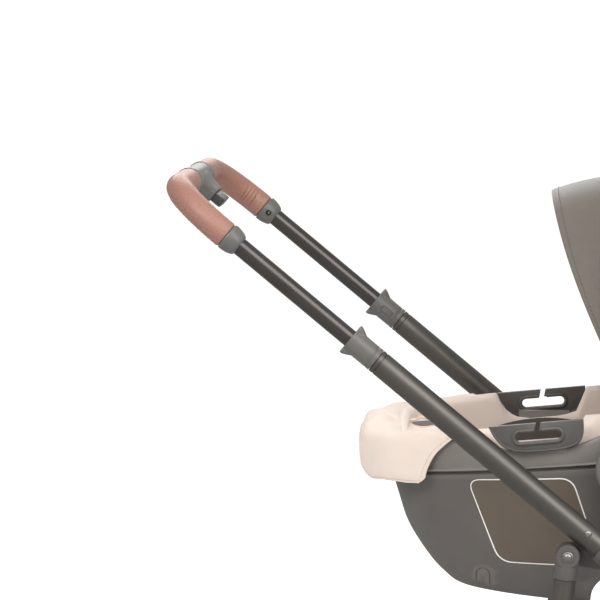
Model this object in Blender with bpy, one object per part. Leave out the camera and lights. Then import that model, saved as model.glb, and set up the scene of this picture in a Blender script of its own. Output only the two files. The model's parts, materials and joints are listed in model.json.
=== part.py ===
"""Travel system stroller: folding chassis with a telescoping push handle, carrying an infant carrier.

Metres, +Z up. +X is the front of the stroller, -Y its right-hand side. The origin is on the floor
under the middle of the stroller. Side -1 is the right-hand side and side +1 the left-hand side.
"""

from math import atan2, cos, hypot, pi, radians, sin

import bmesh
import bpy
from mathutils import Matrix, Vector
from mathutils.bvhtree import BVHTree

# Clearances
GAP = 0.0003            # between pieces that touch
RUNNING_GAP = 0.0006    # between pieces that turn or slide on each other

# Side frames
TRACK = 0.240           # centre plane of each side frame, from the middle of the stroller
PIVOT_HEIGHT = 0.574    # fold pivot above the floor
TUBE_SLOPE = radians(39.6)
HINGE_OFFSET = 0.022    # fold pivot above the tube line
OUTER_RADIUS = 0.015
OUTER_BORE = 0.0132
INNER_RADIUS = 0.011
HOUSING_START = 0.050   # from the hinge to the end of each tube, along the tube

# Push handle, measured up the tube line from the hinge
SLEEVE_TOP = 0.440
SLEEVE_LENGTH = 0.040
SLEEVE_LIFT = 0.008     # how far a sleeve is pulled up to unlock the inner tube
RING_LENGTH = 0.006
WING_SPAN = 0.040
CAP_TOP = 0.6336
CAP_LENGTH = 0.020
CROSSBAR_REACH = 0.7176
BEND_RADIUS = 0.080
TELESCOPE_TRAVEL = 0.160    # how far the handle slides in
TUBE_OVERLAP = TELESCOPE_TRAVEL / 2
GRIP_RADIUS = 0.0165
RELEASE_HALF_WIDTH = 0.072
RING_RADIUS = 0.0175
RELEASE_RING_WIDTH = 0.012
TONGUE_REACH = 0.033
TONGUE_THICKNESS = 0.020
TRIGGER_REACH = 0.015
TRIGGER_THICKNESS = 0.012
TRIGGER_TRAVEL = 0.008
TRIGGER_HALF_WIDTH = 0.030
TRIGGER_INSERT = 0.0115
TRIGGER_POCKET = TRIGGER_INSERT + TRIGGER_TRAVEL + 0.001

# Fold hinge
TONGUE_PLATE = 0.016
CHEEK_THICKNESS = 0.009
EYE_RADIUS = 0.026
CHEEK_RADIUS = 0.030
COLLAR_RADIUS = 0.017
COLLAR_LENGTH = 0.020
SOCKET_RADIUS = 0.018
SOCKET_LENGTH = 0.045
SPIGOT_LENGTH = 0.030
FOLD_PIN_RADIUS = 0.005
GUSSET_THICKNESS = 0.0037
HUB_INBOARD = 0.2185      # inner face of the fold hubs
SOCKET_START = 0.034       # front of the fork between the cheeks, along the tube

# Rear legs and wheels
LEG_PIVOT = (-0.091, 0.578)
LEG_RADIUS = 0.014
LEG_CAP_RADIUS = 0.0145
LEG_CAP_DROP = 0.029
LEG_RIVET_RADIUS = 0.004
RIVET_FACE = TRACK + LEG_CAP_RADIUS + RUNNING_GAP
AXLE_PLACE = (-0.147, 0.125)
AXLE_TUBE_RADIUS = 0.011
AXLE_END_RADIUS = 0.005
BRACKET_RADIUS = 0.019
BRACKET_HALF_WIDTH = 0.0165
REAR_WHEEL_RADIUS = 0.125
REAR_WHEEL_WIDTH = 0.045
REAR_WHEEL_PLACE = 0.280    # middle of the wheel, from the middle of the stroller
TYRE_DEPTH_REAR = 0.026
PEDAL_HALF_WIDTH = 0.055
PEDAL_LENGTH = 0.060

# Front legs, casters and wheels
FRONT_LEG_END = 0.500       # down the tube line from the hinge
SWIVEL_X = 0.455
SWIVEL_TRAIL = 0.030
KNUCKLE_RADIUS = 0.0175
KNUCKLE_BOTTOM = 0.2000
KNUCKLE_TOP = 0.243
STEM_RADIUS = 0.006
CROWN_THICKNESS = 0.010
FRONT_WHEEL_RADIUS = 0.090
FRONT_WHEEL_WIDTH = 0.040
TYRE_DEPTH_FRONT = 0.020
SPOKES = 5
FORK_GAP = 0.0030
FORK_ARM = 0.0065
CROSS_TUBE_STATION = 0.396  # down the tube line from the hinge
CROSS_TUBE_RADIUS = 0.010

# Storage basket
BASKET_HALF_WIDTH = 0.198
BASKET_TOP = 0.410
BASKET_BOTTOM = 0.255
BASKET_REAR = -0.105
BASKET_FRONT = 0.205
BASKET_WALL = 0.003
BASKET_WIRE = 0.005

# Infant carrier
SHELL_FOOT = -0.318
SHELL_HEAD = 0.306
SHELL_HALF_WIDTH = 0.1640
SHELL_WALL = 0.004
LEDGE_FOOT = 0.668          # ledge between shell and rim, at the foot end
LEDGE_RISE = 0.062          # slope of the ledge, per metre
RIM_HEIGHT = 0.022          # beside the belt guides, where the rim is lowest
RIM_FOOT_HEIGHT = 0.012     # what the rim gains towards the foot end
RIM_HUB_HEIGHT = 0.008      # what it gains towards the carry handle's hubs
RIM_HEAD_RISE = 0.045
RIM_PROUD = 0.003
SHELL_BOTTOM = 0.503
ARCH_FROM = -0.064
ARCH_TO = 0.085
ARCH_HEIGHT = 0.046
ARCH_HALF = 0.119           # half-width of the tunnel over the arch, at the underside
ARCH_LEAN = 0.48            # growth of that half-width with height, as the shell's sides flare
GUIDE_PLACE = 0.171
GUIDE_THICKNESS = 0.007
GUIDE_LENGTH = 0.116
GUIDE_HEIGHT = 0.036
GUIDE_SLOT_LENGTH = 0.062
GUIDE_SLOT_HEIGHT = 0.012
GUIDE_ENTRY = 0.006
GUIDE_TILT = radians(5.4)
GUIDE_CENTRE = (-0.130, 0.7115)

# Carry handle
HUB_CENTRE = (-0.018, 0.677)
HUB_RADIUS = 0.041
HUB_INNER = 0.1900
HUB_OUTER = 0.2060
HUB_BOSS_RADIUS = 0.009
HUB_BUTTON_RADIUS = 0.014
BUTTON_THICKNESS = 0.0035
HUB_BUTTON_TRAVEL = 0.004
CARRY_REACH = 0.3765
CARRY_RADIUS = 0.0125
CARRY_BEND = 0.070

# Canopy
CANOPY_PIVOT = (0.005, 0.700)
CANOPY_RADIUS = 0.325
CANOPY_HALF_WIDTH = 0.186
CANOPY_POWER = 2.5
CANOPY_WALL = 0.003
CANOPY_STEP = 0.0042
CANOPY_FRONT = radians(112.0)
CANOPY_TURN = radians(27.5)
CANOPY_SPAN = radians(31.5)
CANOPY_HUB = 0.012
CANOPY_PIN_RADIUS = 0.005

# Soft goods and harness
LINER_RISE = 0.052          # liner's edge above the ledge
GUIDE_DIP = 0.027           # how far that edge drops beside the belt guides
SEAT_HEIGHT = 0.578
BACK_RISE = 0.135
FOOT_RISE = 0.030
LINER_FLOOR = 0.058         # underside of the liner above the shell's underside
LINER_PAD = 0.014
COVER_PUFF = 0.034
COVER_HEM = 0.649
BUCKLE_X = -0.030
BUCKLE_BUTTON_RADIUS = 0.0085
BUCKLE_TRAVEL = 0.004

# Chassis adapters
ADAPTER_INNER = 0.1870
TONGUE_NEAR = 0.1905
TONGUE_FAR = 0.2005
TONGUE_HALF_LENGTH = 0.018
ADAPTER_HALF_LENGTH = 0.030
ADAPTER_TOP = 0.5990
ADAPTER_BOTTOM = 0.552
ADAPTER_TONGUE = 0.030
BOSS_OUTER = 0.2055
BOSS_HALF_LENGTH = 0.042
BOSS_TOP = 0.634

ROUND_SIDES = 12
FINE_SIDES = 16
TYRE_SIDES = 24
PLAN_SIDES = 28
SMALL_SIDES = 8
BEND_STEPS = 6

# Driving directions, worked out from the sizes above
PIVOT = Vector((0.0, 0.0, PIVOT_HEIGHT))
DOWN_TUBE = Vector((cos(TUBE_SLOPE), 0.0, -sin(TUBE_SLOPE)))
ABOVE_TUBE = Vector((sin(TUBE_SLOPE), 0.0, cos(TUBE_SLOPE)))
HINGE_FOOT = PIVOT - ABOVE_TUBE * HINGE_OFFSET
HANDLE_REAR_X = (HINGE_FOOT - DOWN_TUBE * CROSSBAR_REACH).x - RING_RADIUS
FRONT_WHEEL_X = SWIVEL_X - SWIVEL_TRAIL
CENTRE_X = (HANDLE_REAR_X + FRONT_WHEEL_X + FRONT_WHEEL_RADIUS) / 2

BODIES = {}
MATERIALS = {}


def clear_scene():
    for obj in list(bpy.data.objects):
        bpy.data.objects.remove(obj, do_unlink=True)


def material(name, colour, roughness, metallic=0.0):
    """A Principled material of one finish, made once for each name."""
    if name not in MATERIALS:
        made = bpy.data.materials.new(name)
        made.use_nodes = True
        shader = made.node_tree.nodes["Principled BSDF"]
        shader.inputs["Base Color"].default_value = (*colour, 1.0)
        shader.inputs["Roughness"].default_value = roughness
        shader.inputs["Metallic"].default_value = metallic
        MATERIALS[name] = made
    return MATERIALS[name]


def anodised(name):
    return material(name, (0.055, 0.047, 0.044), 0.32, 0.85)


def moulding(name):
    return material(name, (0.060, 0.056, 0.054), 0.52)


def add_body(name, place, parent=None):
    """An empty at the joint that carries a moving body; its pieces are parented to it."""
    empty = bpy.data.objects.new(f"{name}_joint", None)
    bpy.context.scene.collection.objects.link(empty)
    above = BODIES[parent][1] if parent else Vector((0.0, 0.0, 0.0))
    empty.location = Vector(place) - above
    if parent:
        empty.parent = BODIES[parent][0]
    BODIES[name] = (empty, Vector(place))


def add_piece(name, shape, body, finish, smooth=40.0):
    """The object of a finished bmesh, with its origin on its body's joint."""
    bmesh.ops.recalc_face_normals(shape, faces=shape.faces)
    empty, place = BODIES[body]
    shape.transform(Matrix.Translation(-place))
    mesh = bpy.data.meshes.new(name)
    shape.to_mesh(mesh)
    shape.free()
    obj = bpy.data.objects.new(name, mesh)
    bpy.context.scene.collection.objects.link(obj)
    obj.parent = empty
    if finish:
        mesh.materials.append(finish)
    mesh.shade_smooth()
    mesh.set_sharp_from_angle(angle=radians(smooth))
    return obj


def add_tool(name, shape, body):
    """A helper for a Boolean: never a piece of the stroller."""
    obj = add_piece(name, shape, body, None)
    obj.hide_render = True
    obj.display_type = "WIRE"
    return obj


def combine(obj, operation, shapes, body):
    """Cuts the shapes from obj or joins them to it."""
    for number, shape in enumerate(shapes):
        tool = add_tool(f"{obj.name}_{operation.lower()}_{len(obj.modifiers)}_{number}", shape, body)
        modifier = obj.modifiers.new(operation.title(), "BOOLEAN")
        modifier.operation = operation
        modifier.solver = "EXACT"
        modifier.object = tool


def cut(obj, shapes, body):
    combine(obj, "DIFFERENCE", shapes, body)


def join(obj, shapes, body):
    combine(obj, "UNION", shapes, body)


def bevel(obj, width, segments=2, angle=35.0):
    modifier = obj.modifiers.new("Bevel", "BEVEL")
    modifier.width = width
    modifier.segments = segments
    modifier.limit_method = "ANGLE"
    modifier.angle_limit = radians(angle)
    modifier.harden_normals = False
    return modifier


def rings_shape(rings, closed=False):
    """A skin over rings of equal count: capped at both ends, or closed round on itself."""
    shape = bmesh.new()
    made = [[shape.verts.new(point) for point in ring] for ring in rings]
    pairs = list(zip(made, made[1:]))
    if closed:
        pairs.append((made[-1], made[0]))
    for first, second in pairs:
        count = len(first)
        for i in range(count):
            j = (i + 1) % count
            shape.faces.new((first[i], first[j], second[j], second[i]))
    if not closed:
        shape.faces.new(made[0][::-1])
        shape.faces.new(made[-1])
    return shape


def frame_of(direction):
    """Two directions at right angles to a direction."""
    along = Vector(direction).normalized()
    across = Vector((0.0, 1.0, 0.0)) if abs(along.y) < 0.9 else Vector((1.0, 0.0, 0.0))
    up = across.cross(along).normalized()
    return along, along.cross(up).normalized(), up


def circle_points(centre, direction, radius, sides, turn=0.0):
    _, across, up = frame_of(direction)
    centre = Vector(centre)
    step = 2 * pi / sides
    return [
        centre + (across * cos(turn + step * i) + up * sin(turn + step * i)) * radius
        for i in range(sides)
    ]


def rod(start, end, radius, sides=ROUND_SIDES, end_radius=None, turn=0.0):
    """A solid round bar, tapered where the second radius is given."""
    start, end = Vector(start), Vector(end)
    last = radius if end_radius is None else end_radius
    return rings_shape([
        circle_points(start, end - start, radius, sides, turn),
        circle_points(end, end - start, last, sides, turn),
    ])


def clear(radius, sides=FINE_SIDES):
    """Corner radius of a faceted bore whose flats lie at the radius, so that a round shaft fits."""
    return radius / cos(pi / sides)


def bore(start, end, radius, sides=ROUND_SIDES):
    """A cutter for a round hole."""
    return rod(start, end, clear(radius, sides), sides)


def turned(start, direction, profile, sides=ROUND_SIDES, closed=False, turn=0.0):
    """A turned solid: the profile's points are (distance along the axis, radius)."""
    along = Vector(direction).normalized()
    start = Vector(start)
    rings = [
        circle_points(start + along * distance, along, radius, sides, turn)
        for distance, radius in profile
    ]
    return rings_shape(rings, closed)


def pipe(start, end, radius, inside, sides=ROUND_SIDES):
    length = (Vector(end) - Vector(start)).length
    profile = [(0.0, radius), (length, radius), (length, inside), (0.0, inside)]
    return turned(start, Vector(end) - Vector(start), profile, sides, closed=True)


def box(low, high):
    shape = bmesh.new()
    bmesh.ops.create_cube(shape, size=1.0)
    low, high = Vector(low), Vector(high)
    size = high - low
    middle = (low + high) / 2
    for vert in shape.verts:
        vert.co = Vector((vert.co.x * size.x, vert.co.y * size.y, vert.co.z * size.z)) + middle
    return shape


def plate(outline, y_from, y_to):
    """A flat plate in the side view: the outline's points are (x, z)."""
    shape = bmesh.new()
    face = shape.faces.new([shape.verts.new((x, y_from, z)) for x, z in outline])
    grown = bmesh.ops.extrude_face_region(shape, geom=[face])
    verts = [item for item in grown["geom"] if isinstance(item, bmesh.types.BMVert)]
    bmesh.ops.translate(shape, verts=verts, vec=(0.0, y_to - y_from, 0.0))
    return shape


def arc(centre, radius, start, end, steps):
    """Points (x, z) of an arc, from one angle to another."""
    return [
        (centre[0] + radius * cos(start + (end - start) * i / steps),
         centre[1] + radius * sin(start + (end - start) * i / steps))
        for i in range(steps + 1)
    ]


def on_tube(distance, side, above=0.0, inward=0.0):
    """A point on the push tube's line: distance down the tube from the hinge, negative towards the handle."""
    point = HINGE_FOOT + DOWN_TUBE * distance + ABOVE_TUBE * above
    point.y = side * (TRACK - inward)
    return point


def side_name(name, side):
    return f"{name}_{'left' if side > 0 else 'right'}"


def span(side, near, far):
    """The two Y limits of a piece that lies from near to far on one side, lowest first."""
    return tuple(sorted((side * near, side * far)))


def path_rings(points, radius, sides, in_plane=None):
    """Rings that follow a path, mitred where it turns; in_plane flattens them in the path's plane."""
    in_plane = in_plane or radius
    points = [Vector(point) for point in points]
    steps = [(after - before).normalized() for before, after in zip(points, points[1:])]
    across = frame_of(steps[0])[1]
    rings = []
    for i, point in enumerate(points):
        before, after = steps[max(i - 1, 0)], steps[min(i, len(steps) - 1)]
        along = (before + after).normalized()
        across = (across - along * across.dot(along)).normalized()
        up = along.cross(across)
        turn = after - before
        side = turn.normalized() if turn.length > 1e-6 else None
        stretch = 1.0 / max(along.dot(before), 0.5)
        ring = []
        for k in range(sides):
            angle = 2 * pi * k / sides
            offset = across * (in_plane * cos(angle)) + up * (radius * sin(angle))
            if side:
                offset += side * offset.dot(side) * (stretch - 1.0)
            ring.append(point + offset)
        rings.append(ring)
    return rings


def swept(points, radius, sides=ROUND_SIDES):
    """A round bar that follows a path."""
    return rings_shape(path_rings(points, radius, sides))


def swept_sleeve(points, radius, hollow, sides=ROUND_SIDES):
    """A tube that follows a path, open at both ends."""
    outside, inside = path_rings(points, radius, sides), path_rings(points, hollow, sides)
    return rings_shape(outside + inside[::-1], closed=True)


def rounded_ring(centre, across, up, half_width, half_height, corner, steps=2):
    """A rounded rectangle across a direction, as one ring of points."""
    points = []
    for quarter in range(4):
        sx, sy = ((1, 1), (-1, 1), (-1, -1), (1, -1))[quarter]
        for i in range(steps + 1):
            angle = pi / 2 * (quarter + i / steps)
            points.append(
                centre
                + across * (sx * (half_width - corner) + corner * cos(angle))
                + up * (sy * (half_height - corner) + corner * sin(angle))
            )
    return points


def square_ring(centre, across, up, half_width, half_height):
    """A rectangle across a direction, as one ring of points."""
    corners = ((1, 1), (-1, 1), (-1, -1), (1, -1))
    return [centre + across * (half_width * a) + up * (half_height * b) for a, b in corners]


def handle_path(start, reach, corner_steps=BEND_STEPS):
    """The push handle's centreline: up one side, across the crossbar and down the other."""
    points = [on_tube(-start, 1)]
    for side in (1, -1):
        quarter = []
        for i in range(corner_steps + 1):
            angle = pi / 2 * i / corner_steps
            point = on_tube(-(reach - BEND_RADIUS + BEND_RADIUS * sin(angle)), 1)
            point.y = side * (TRACK - BEND_RADIUS + BEND_RADIUS * cos(angle))
            quarter.append(point)
        points += quarter if side > 0 else quarter[::-1]
    return points + [on_tube(-start, -1)]


def build_handle():
    """The sliding part of the push handle: tube, grips, end caps and release housing."""
    plastic = moulding("satin_grey_plastic")
    leather = material("brown_leatherette", (0.27, 0.13, 0.09), 0.55)
    inner_end = SLEEVE_TOP - SLEEVE_LIFT - TUBE_OVERLAP
    add_piece(
        "handle_tube", swept(handle_path(inner_end, CROSSBAR_REACH), INNER_RADIUS),
        "handle", anodised("gloss_anodised_tube"))
    fit = INNER_RADIUS + GAP
    for side in (-1, 1):
        path = [on_tube(-CAP_TOP - GAP, 1)] + handle_path(CAP_TOP, CROSSBAR_REACH)[1:BEND_STEPS + 2]
        end = path[-1].copy()
        end.y = RELEASE_HALF_WIDTH + GAP
        path = [Vector((p.x, p.y * side, p.z)) for p in path + [end]]
        add_piece(side_name("grip", side), swept_sleeve(path, GRIP_RADIUS, fit), "handle", leather)

        cap_end = CAP_TOP - CAP_LENGTH
        cap = turned(
            on_tube(-CAP_TOP, side), DOWN_TUBE,
            [(0.0, GRIP_RADIUS), (0.003, GRIP_RADIUS + 0.0004), (CAP_LENGTH - 0.002, 0.0133),
             (CAP_LENGTH, 0.0125), (CAP_LENGTH, clear(fit)), (0.0, clear(fit))], FINE_SIDES, closed=True)
        piece = add_piece(side_name("grip_cap", side), cap, "handle", plastic)
        middle = on_tube(-(CAP_TOP + cap_end) / 2, side)
        inner_face = middle - Vector((0.0, side * (GRIP_RADIUS - 0.0042), 0.0))
        cut(piece, [bore(inner_face, inner_face - Vector((0.0, side * 0.008, 0.0)), 0.0032, SMALL_SIDES)], "handle")

    build_release_housing(plastic)


def build_release_housing(plastic):
    """The Y-shaped housing on the crossbar, with the pocket that its trigger slides in."""
    crossbar = on_tube(-CROSSBAR_REACH, 1)
    crossbar.y = 0.0
    left = crossbar + Vector((0.0, -RELEASE_HALF_WIDTH, 0.0))
    fit = clear(INNER_RADIUS + GAP)
    waist, groove = RING_RADIUS - 0.0012, RING_RADIUS - 0.002
    ring, width = RELEASE_RING_WIDTH, 2 * RELEASE_HALF_WIDTH
    profile = [
        (0.0, RING_RADIUS), (ring, RING_RADIUS), (ring + 0.0005, groove), (ring + 0.002, groove),
        (ring + 0.003, waist), (width - ring - 0.003, waist), (width - ring - 0.002, groove),
        (width - ring - 0.0005, groove), (width - ring, RING_RADIUS), (width, RING_RADIUS),
        (width, fit), (0.0, fit),
    ]
    body = add_piece(
        "release_housing", turned(left, (0.0, 1.0, 0.0), profile, FINE_SIDES, closed=True),
        "handle", plastic)
    across = Vector((0.0, 1.0, 0.0))
    start = INNER_RADIUS + 0.0016
    stations = [(start, 0.052), (0.016, 0.050), (0.021, 0.041), (0.026, 0.036), (TONGUE_REACH, 0.0345)]
    rings = [
        rounded_ring(crossbar + DOWN_TUBE * reach, across, ABOVE_TUBE, half,
                     TONGUE_THICKNESS / 2, 0.006)
        for reach, half in stations
    ]
    join(body, [rings_shape(rings)], "handle")
    pocket_start = TONGUE_REACH - TRIGGER_POCKET
    pocket = [
        rounded_ring(crossbar + DOWN_TUBE * reach, across, ABOVE_TUBE,
                     TRIGGER_HALF_WIDTH + RUNNING_GAP, TRIGGER_THICKNESS / 2 + RUNNING_GAP, 0.004)
        for reach in (pocket_start, TONGUE_REACH + 0.002)
    ]
    cut(body, [rings_shape(pocket)], "handle")

    rings = []
    tip = TONGUE_REACH + TRIGGER_REACH
    pocket_end = TONGUE_REACH - TRIGGER_INSERT
    for reach, half, thick in (
        (pocket_end, TRIGGER_HALF_WIDTH, TRIGGER_THICKNESS),
        (tip - 0.004, TRIGGER_HALF_WIDTH, TRIGGER_THICKNESS),
        (tip - 0.001, TRIGGER_HALF_WIDTH - 0.002, TRIGGER_THICKNESS - 0.003),
        (tip, TRIGGER_HALF_WIDTH - 0.004, TRIGGER_THICKNESS - 0.006),
    ):
        rings.append(rounded_ring(crossbar + DOWN_TUBE * reach, across, ABOVE_TUBE,
                                  half, thick / 2, min(0.0035, thick / 2 - 0.001)))
    add_piece("release_trigger", rings_shape(rings), "trigger", moulding("dark_plastic"))


def build_sleeves():
    """The telescope sleeves: finger wings at the top, a lock window on the inner side."""
    plastic = moulding("satin_grey_plastic")
    fit = clear(INNER_RADIUS + GAP)
    for side in (-1, 1):
        body = f"sleeve_{'left' if side > 0 else 'right'}"
        top = on_tube(-SLEEVE_TOP, side)
        profile = [(0.0, OUTER_RADIUS), (SLEEVE_LENGTH, OUTER_RADIUS),
                   (SLEEVE_LENGTH, fit), (0.0, fit)]
        sleeve = add_piece(side_name("telescope_sleeve", side),
                           turned(top, DOWN_TUBE, profile, FINE_SIDES, closed=True), body, plastic)
        across = Vector((0.0, 1.0, 0.0))
        for way in (-1, 1):
            rings = []
            for reach, height, half in ((-0.0005, WING_SPAN / 2, 0.0085), (0.0022, WING_SPAN / 2, 0.0090),
                                        (0.006, 0.0170, 0.0088), (0.0135, 0.0146, 0.0060)):
                low = 0.0125
                middle = top + DOWN_TUBE * reach + ABOVE_TUBE * (way * (height + low) / 2)
                rings.append(rounded_ring(middle, across, ABOVE_TUBE, half, (height - low) / 2, 0.0008, 2))
            join(sleeve, [rings_shape(rings)], body)
        window = on_tube(-SLEEVE_TOP + 0.012, side, inward=OUTER_RADIUS - 0.0012)
        low_y, high_y = sorted((window.y, window.y - side * 0.006))
        frame = [window + DOWN_TUBE * reach + ABOVE_TUBE * rise
                 for reach, rise in ((0.0, -0.0045), (0.022, -0.0045), (0.022, 0.0045), (0.0, 0.0045))]
        cut(sleeve, [plate([(p.x, p.z) for p in frame], low_y, high_y)], body)


def build_outer_tubes():
    """The lower half of the push bar: outer tubes with a bushed ring, and the upper fold hubs."""
    plastic = moulding("satin_black_plastic")
    for side in (-1, 1):
        ring_top = SLEEVE_TOP - SLEEVE_LENGTH - GAP
        top = on_tube(-ring_top, side)
        length = ring_top - HOUSING_START
        guide = clear(INNER_RADIUS + GAP)
        groove = OUTER_RADIUS - 0.0008
        profile = [
            (0.0, OUTER_RADIUS), (RING_LENGTH - 0.0012, OUTER_RADIUS),
            (RING_LENGTH - 0.001, groove), (RING_LENGTH, groove),
            (RING_LENGTH + 0.0002, OUTER_RADIUS), (length, OUTER_RADIUS),
            (length, OUTER_BORE), (0.022, OUTER_BORE), (0.020, guide), (0.0, guide),
        ]
        add_piece(side_name("outer_tube", side), turned(top, DOWN_TUBE, profile, FINE_SIDES, closed=True),
                  "push_bar", anodised("satin_anodised_tube"))

        collar_top = on_tube(-HOUSING_START + GAP, side)
        spigot = OUTER_BORE - GAP
        hub = add_piece(
            side_name("upper_hub", side),
            turned(collar_top, DOWN_TUBE,
                   [(-SPIGOT_LENGTH, spigot - 0.001), (-SPIGOT_LENGTH + 0.001, spigot),
                    (0.0, spigot), (0.0, COLLAR_RADIUS - 0.0008), (0.001, COLLAR_RADIUS),
                    (COLLAR_LENGTH - 0.004, COLLAR_RADIUS), (COLLAR_LENGTH - 0.002, COLLAR_RADIUS - 0.003)],
                   FINE_SIDES),
            "push_bar", plastic)
        half = TONGUE_PLATE / 2
        corners = [on_tube(reach, side, above) for reach, above in
                   ((-0.044, -0.0145), (-0.006, -0.0145), (-0.006, 0.015), (-0.044, 0.0145))]
        low_y, high_y = span(side, TRACK - half, TRACK + half)
        web = plate([(p.x, p.z) for p in corners], low_y, high_y)
        eye = rod(PIVOT + Vector((0, side * TRACK - half, 0)), PIVOT + Vector((0, side * TRACK + half, 0)),
                  EYE_RADIUS, FINE_SIDES)
        join(hub, [web, eye], "push_bar")
        pin_bore = bore(PIVOT + Vector((0, side * TRACK - 0.03, 0)), PIVOT + Vector((0, side * TRACK + 0.03, 0)),
                        FOLD_PIN_RADIUS + RUNNING_GAP)
        cut(hub, [pin_bore], "push_bar")


def link_outline(first, first_radius, second, second_radius, steps=6):
    """The outline (x, z) of a flat link: two round ends joined by straight sides."""
    dx, dz = second[0] - first[0], second[1] - first[1]
    heading = atan2(dz, dx)
    lean = pi / 2 - atan2(first_radius - second_radius, hypot(dx, dz))
    far = arc(second, second_radius, heading - lean, heading + lean, steps)
    near = arc(first, first_radius, heading + lean, heading - lean + 2 * pi, steps)
    return far + near


def cross_rod(place, side, near, far, radius, sides=ROUND_SIDES):
    """A bar across the stroller at (x, z), from near to far on one side."""
    low_y, high_y = span(side, near, far)
    return rod((place[0], low_y, place[1]), (place[0], high_y, place[1]), radius, sides)


def cross_bore(place, side, near, far, radius, sides=ROUND_SIDES):
    """A cutter for a hole across the stroller."""
    return cross_rod(place, side, near, far, clear(radius, sides), sides)


def tube_plate(stations, y_limits):
    """A plate in the side view whose outline points are (down the tube, above the tube)."""
    points = [on_tube(down, 1, above) for down, above in stations]
    return plate([(p.x, p.z) for p in points], *y_limits)


def build_lower_hubs():
    """The fixed half of each fold hinge: fork of two cheeks, leg socket, gusset and rear-leg pivot."""
    plastic = moulding("satin_black_plastic")
    pivot = (PIVOT.x, PIVOT.z)
    tongue_half = TONGUE_PLATE / 2 + 0.0005
    inner = HUB_INBOARD
    outer = TRACK + tongue_half + CHEEK_THICKNESS
    for side in (-1, 1):
        socket_end = HOUSING_START + SOCKET_LENGTH
        socket = turned(
            on_tube(SOCKET_START, side), DOWN_TUBE,
            [(0.0, SOCKET_RADIUS - 0.002), (0.002, SOCKET_RADIUS),
             (socket_end - SOCKET_START - 0.0015, SOCKET_RADIUS),
             (socket_end - SOCKET_START, SOCKET_RADIUS - 0.001)], FINE_SIDES)
        hub = add_piece(side_name("lower_hub", side), socket, "front_frame", plastic)
        shapes = []
        for near, far in ((inner, TRACK - tongue_half), (TRACK + tongue_half, outer)):
            low_y, high_y = span(side, near, far)
            shapes.append(cross_rod(pivot, side, near, far, CHEEK_RADIUS, FINE_SIDES))
            shapes.append(tube_plate(
                ((0.0, -0.0165), (SOCKET_START + 0.012, -0.0165),
                 (SOCKET_START + 0.012, 0.0145), (0.0, 0.020)), (low_y, high_y)))
        gusset = link_outline(pivot, 0.024, LEG_PIVOT, 0.0135)
        shapes.append(plate(gusset, *span(side, inner + 0.0001, inner + GUSSET_THICKNESS)))
        shapes.append(cross_rod(LEG_PIVOT, side, inner + 0.002, RIVET_FACE + 0.0003, LEG_RIVET_RADIUS, SMALL_SIDES))
        head_low = Vector((LEG_PIVOT[0], side * RIVET_FACE, LEG_PIVOT[1]))
        shapes.append(turned(head_low, (0.0, side, 0.0),
                             [(0.0, 0.0062), (0.0008, 0.0058), (0.0016, 0.0042), (0.0021, 0.0015)], SMALL_SIDES))
        join(hub, shapes, "front_frame")
        leg_bore = bore(on_tube(HOUSING_START, side), on_tube(socket_end + 0.01, side),
                       OUTER_RADIUS + GAP, FINE_SIDES)
        pin_bore = cross_bore(pivot, side, inner - 0.01, outer + 0.01, FOLD_PIN_RADIUS + GAP)
        cut(hub, [leg_bore, pin_bore], "front_frame")

        pin_length = outer - inner
        pin = turned(Vector((pivot[0], side * (inner + GAP), pivot[1])), (0.0, side, 0.0),
                     [(0.0, FOLD_PIN_RADIUS), (pin_length, FOLD_PIN_RADIUS), (pin_length, 0.0085),
                      (pin_length + 0.0012, 0.0082), (pin_length + 0.0022, 0.0060)], ROUND_SIDES)
        add_piece(side_name("fold_pin", side), pin, "front_frame",
                  material("chromed_steel", (0.75, 0.75, 0.74), 0.22, 1.0))

        leg = pipe(on_tube(HOUSING_START + GAP, side), on_tube(FRONT_LEG_END, side),
                   OUTER_RADIUS, OUTER_BORE, FINE_SIDES)
        add_piece(side_name("front_leg", side), leg, "front_frame", anodised("satin_anodised_tube"))


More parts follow.
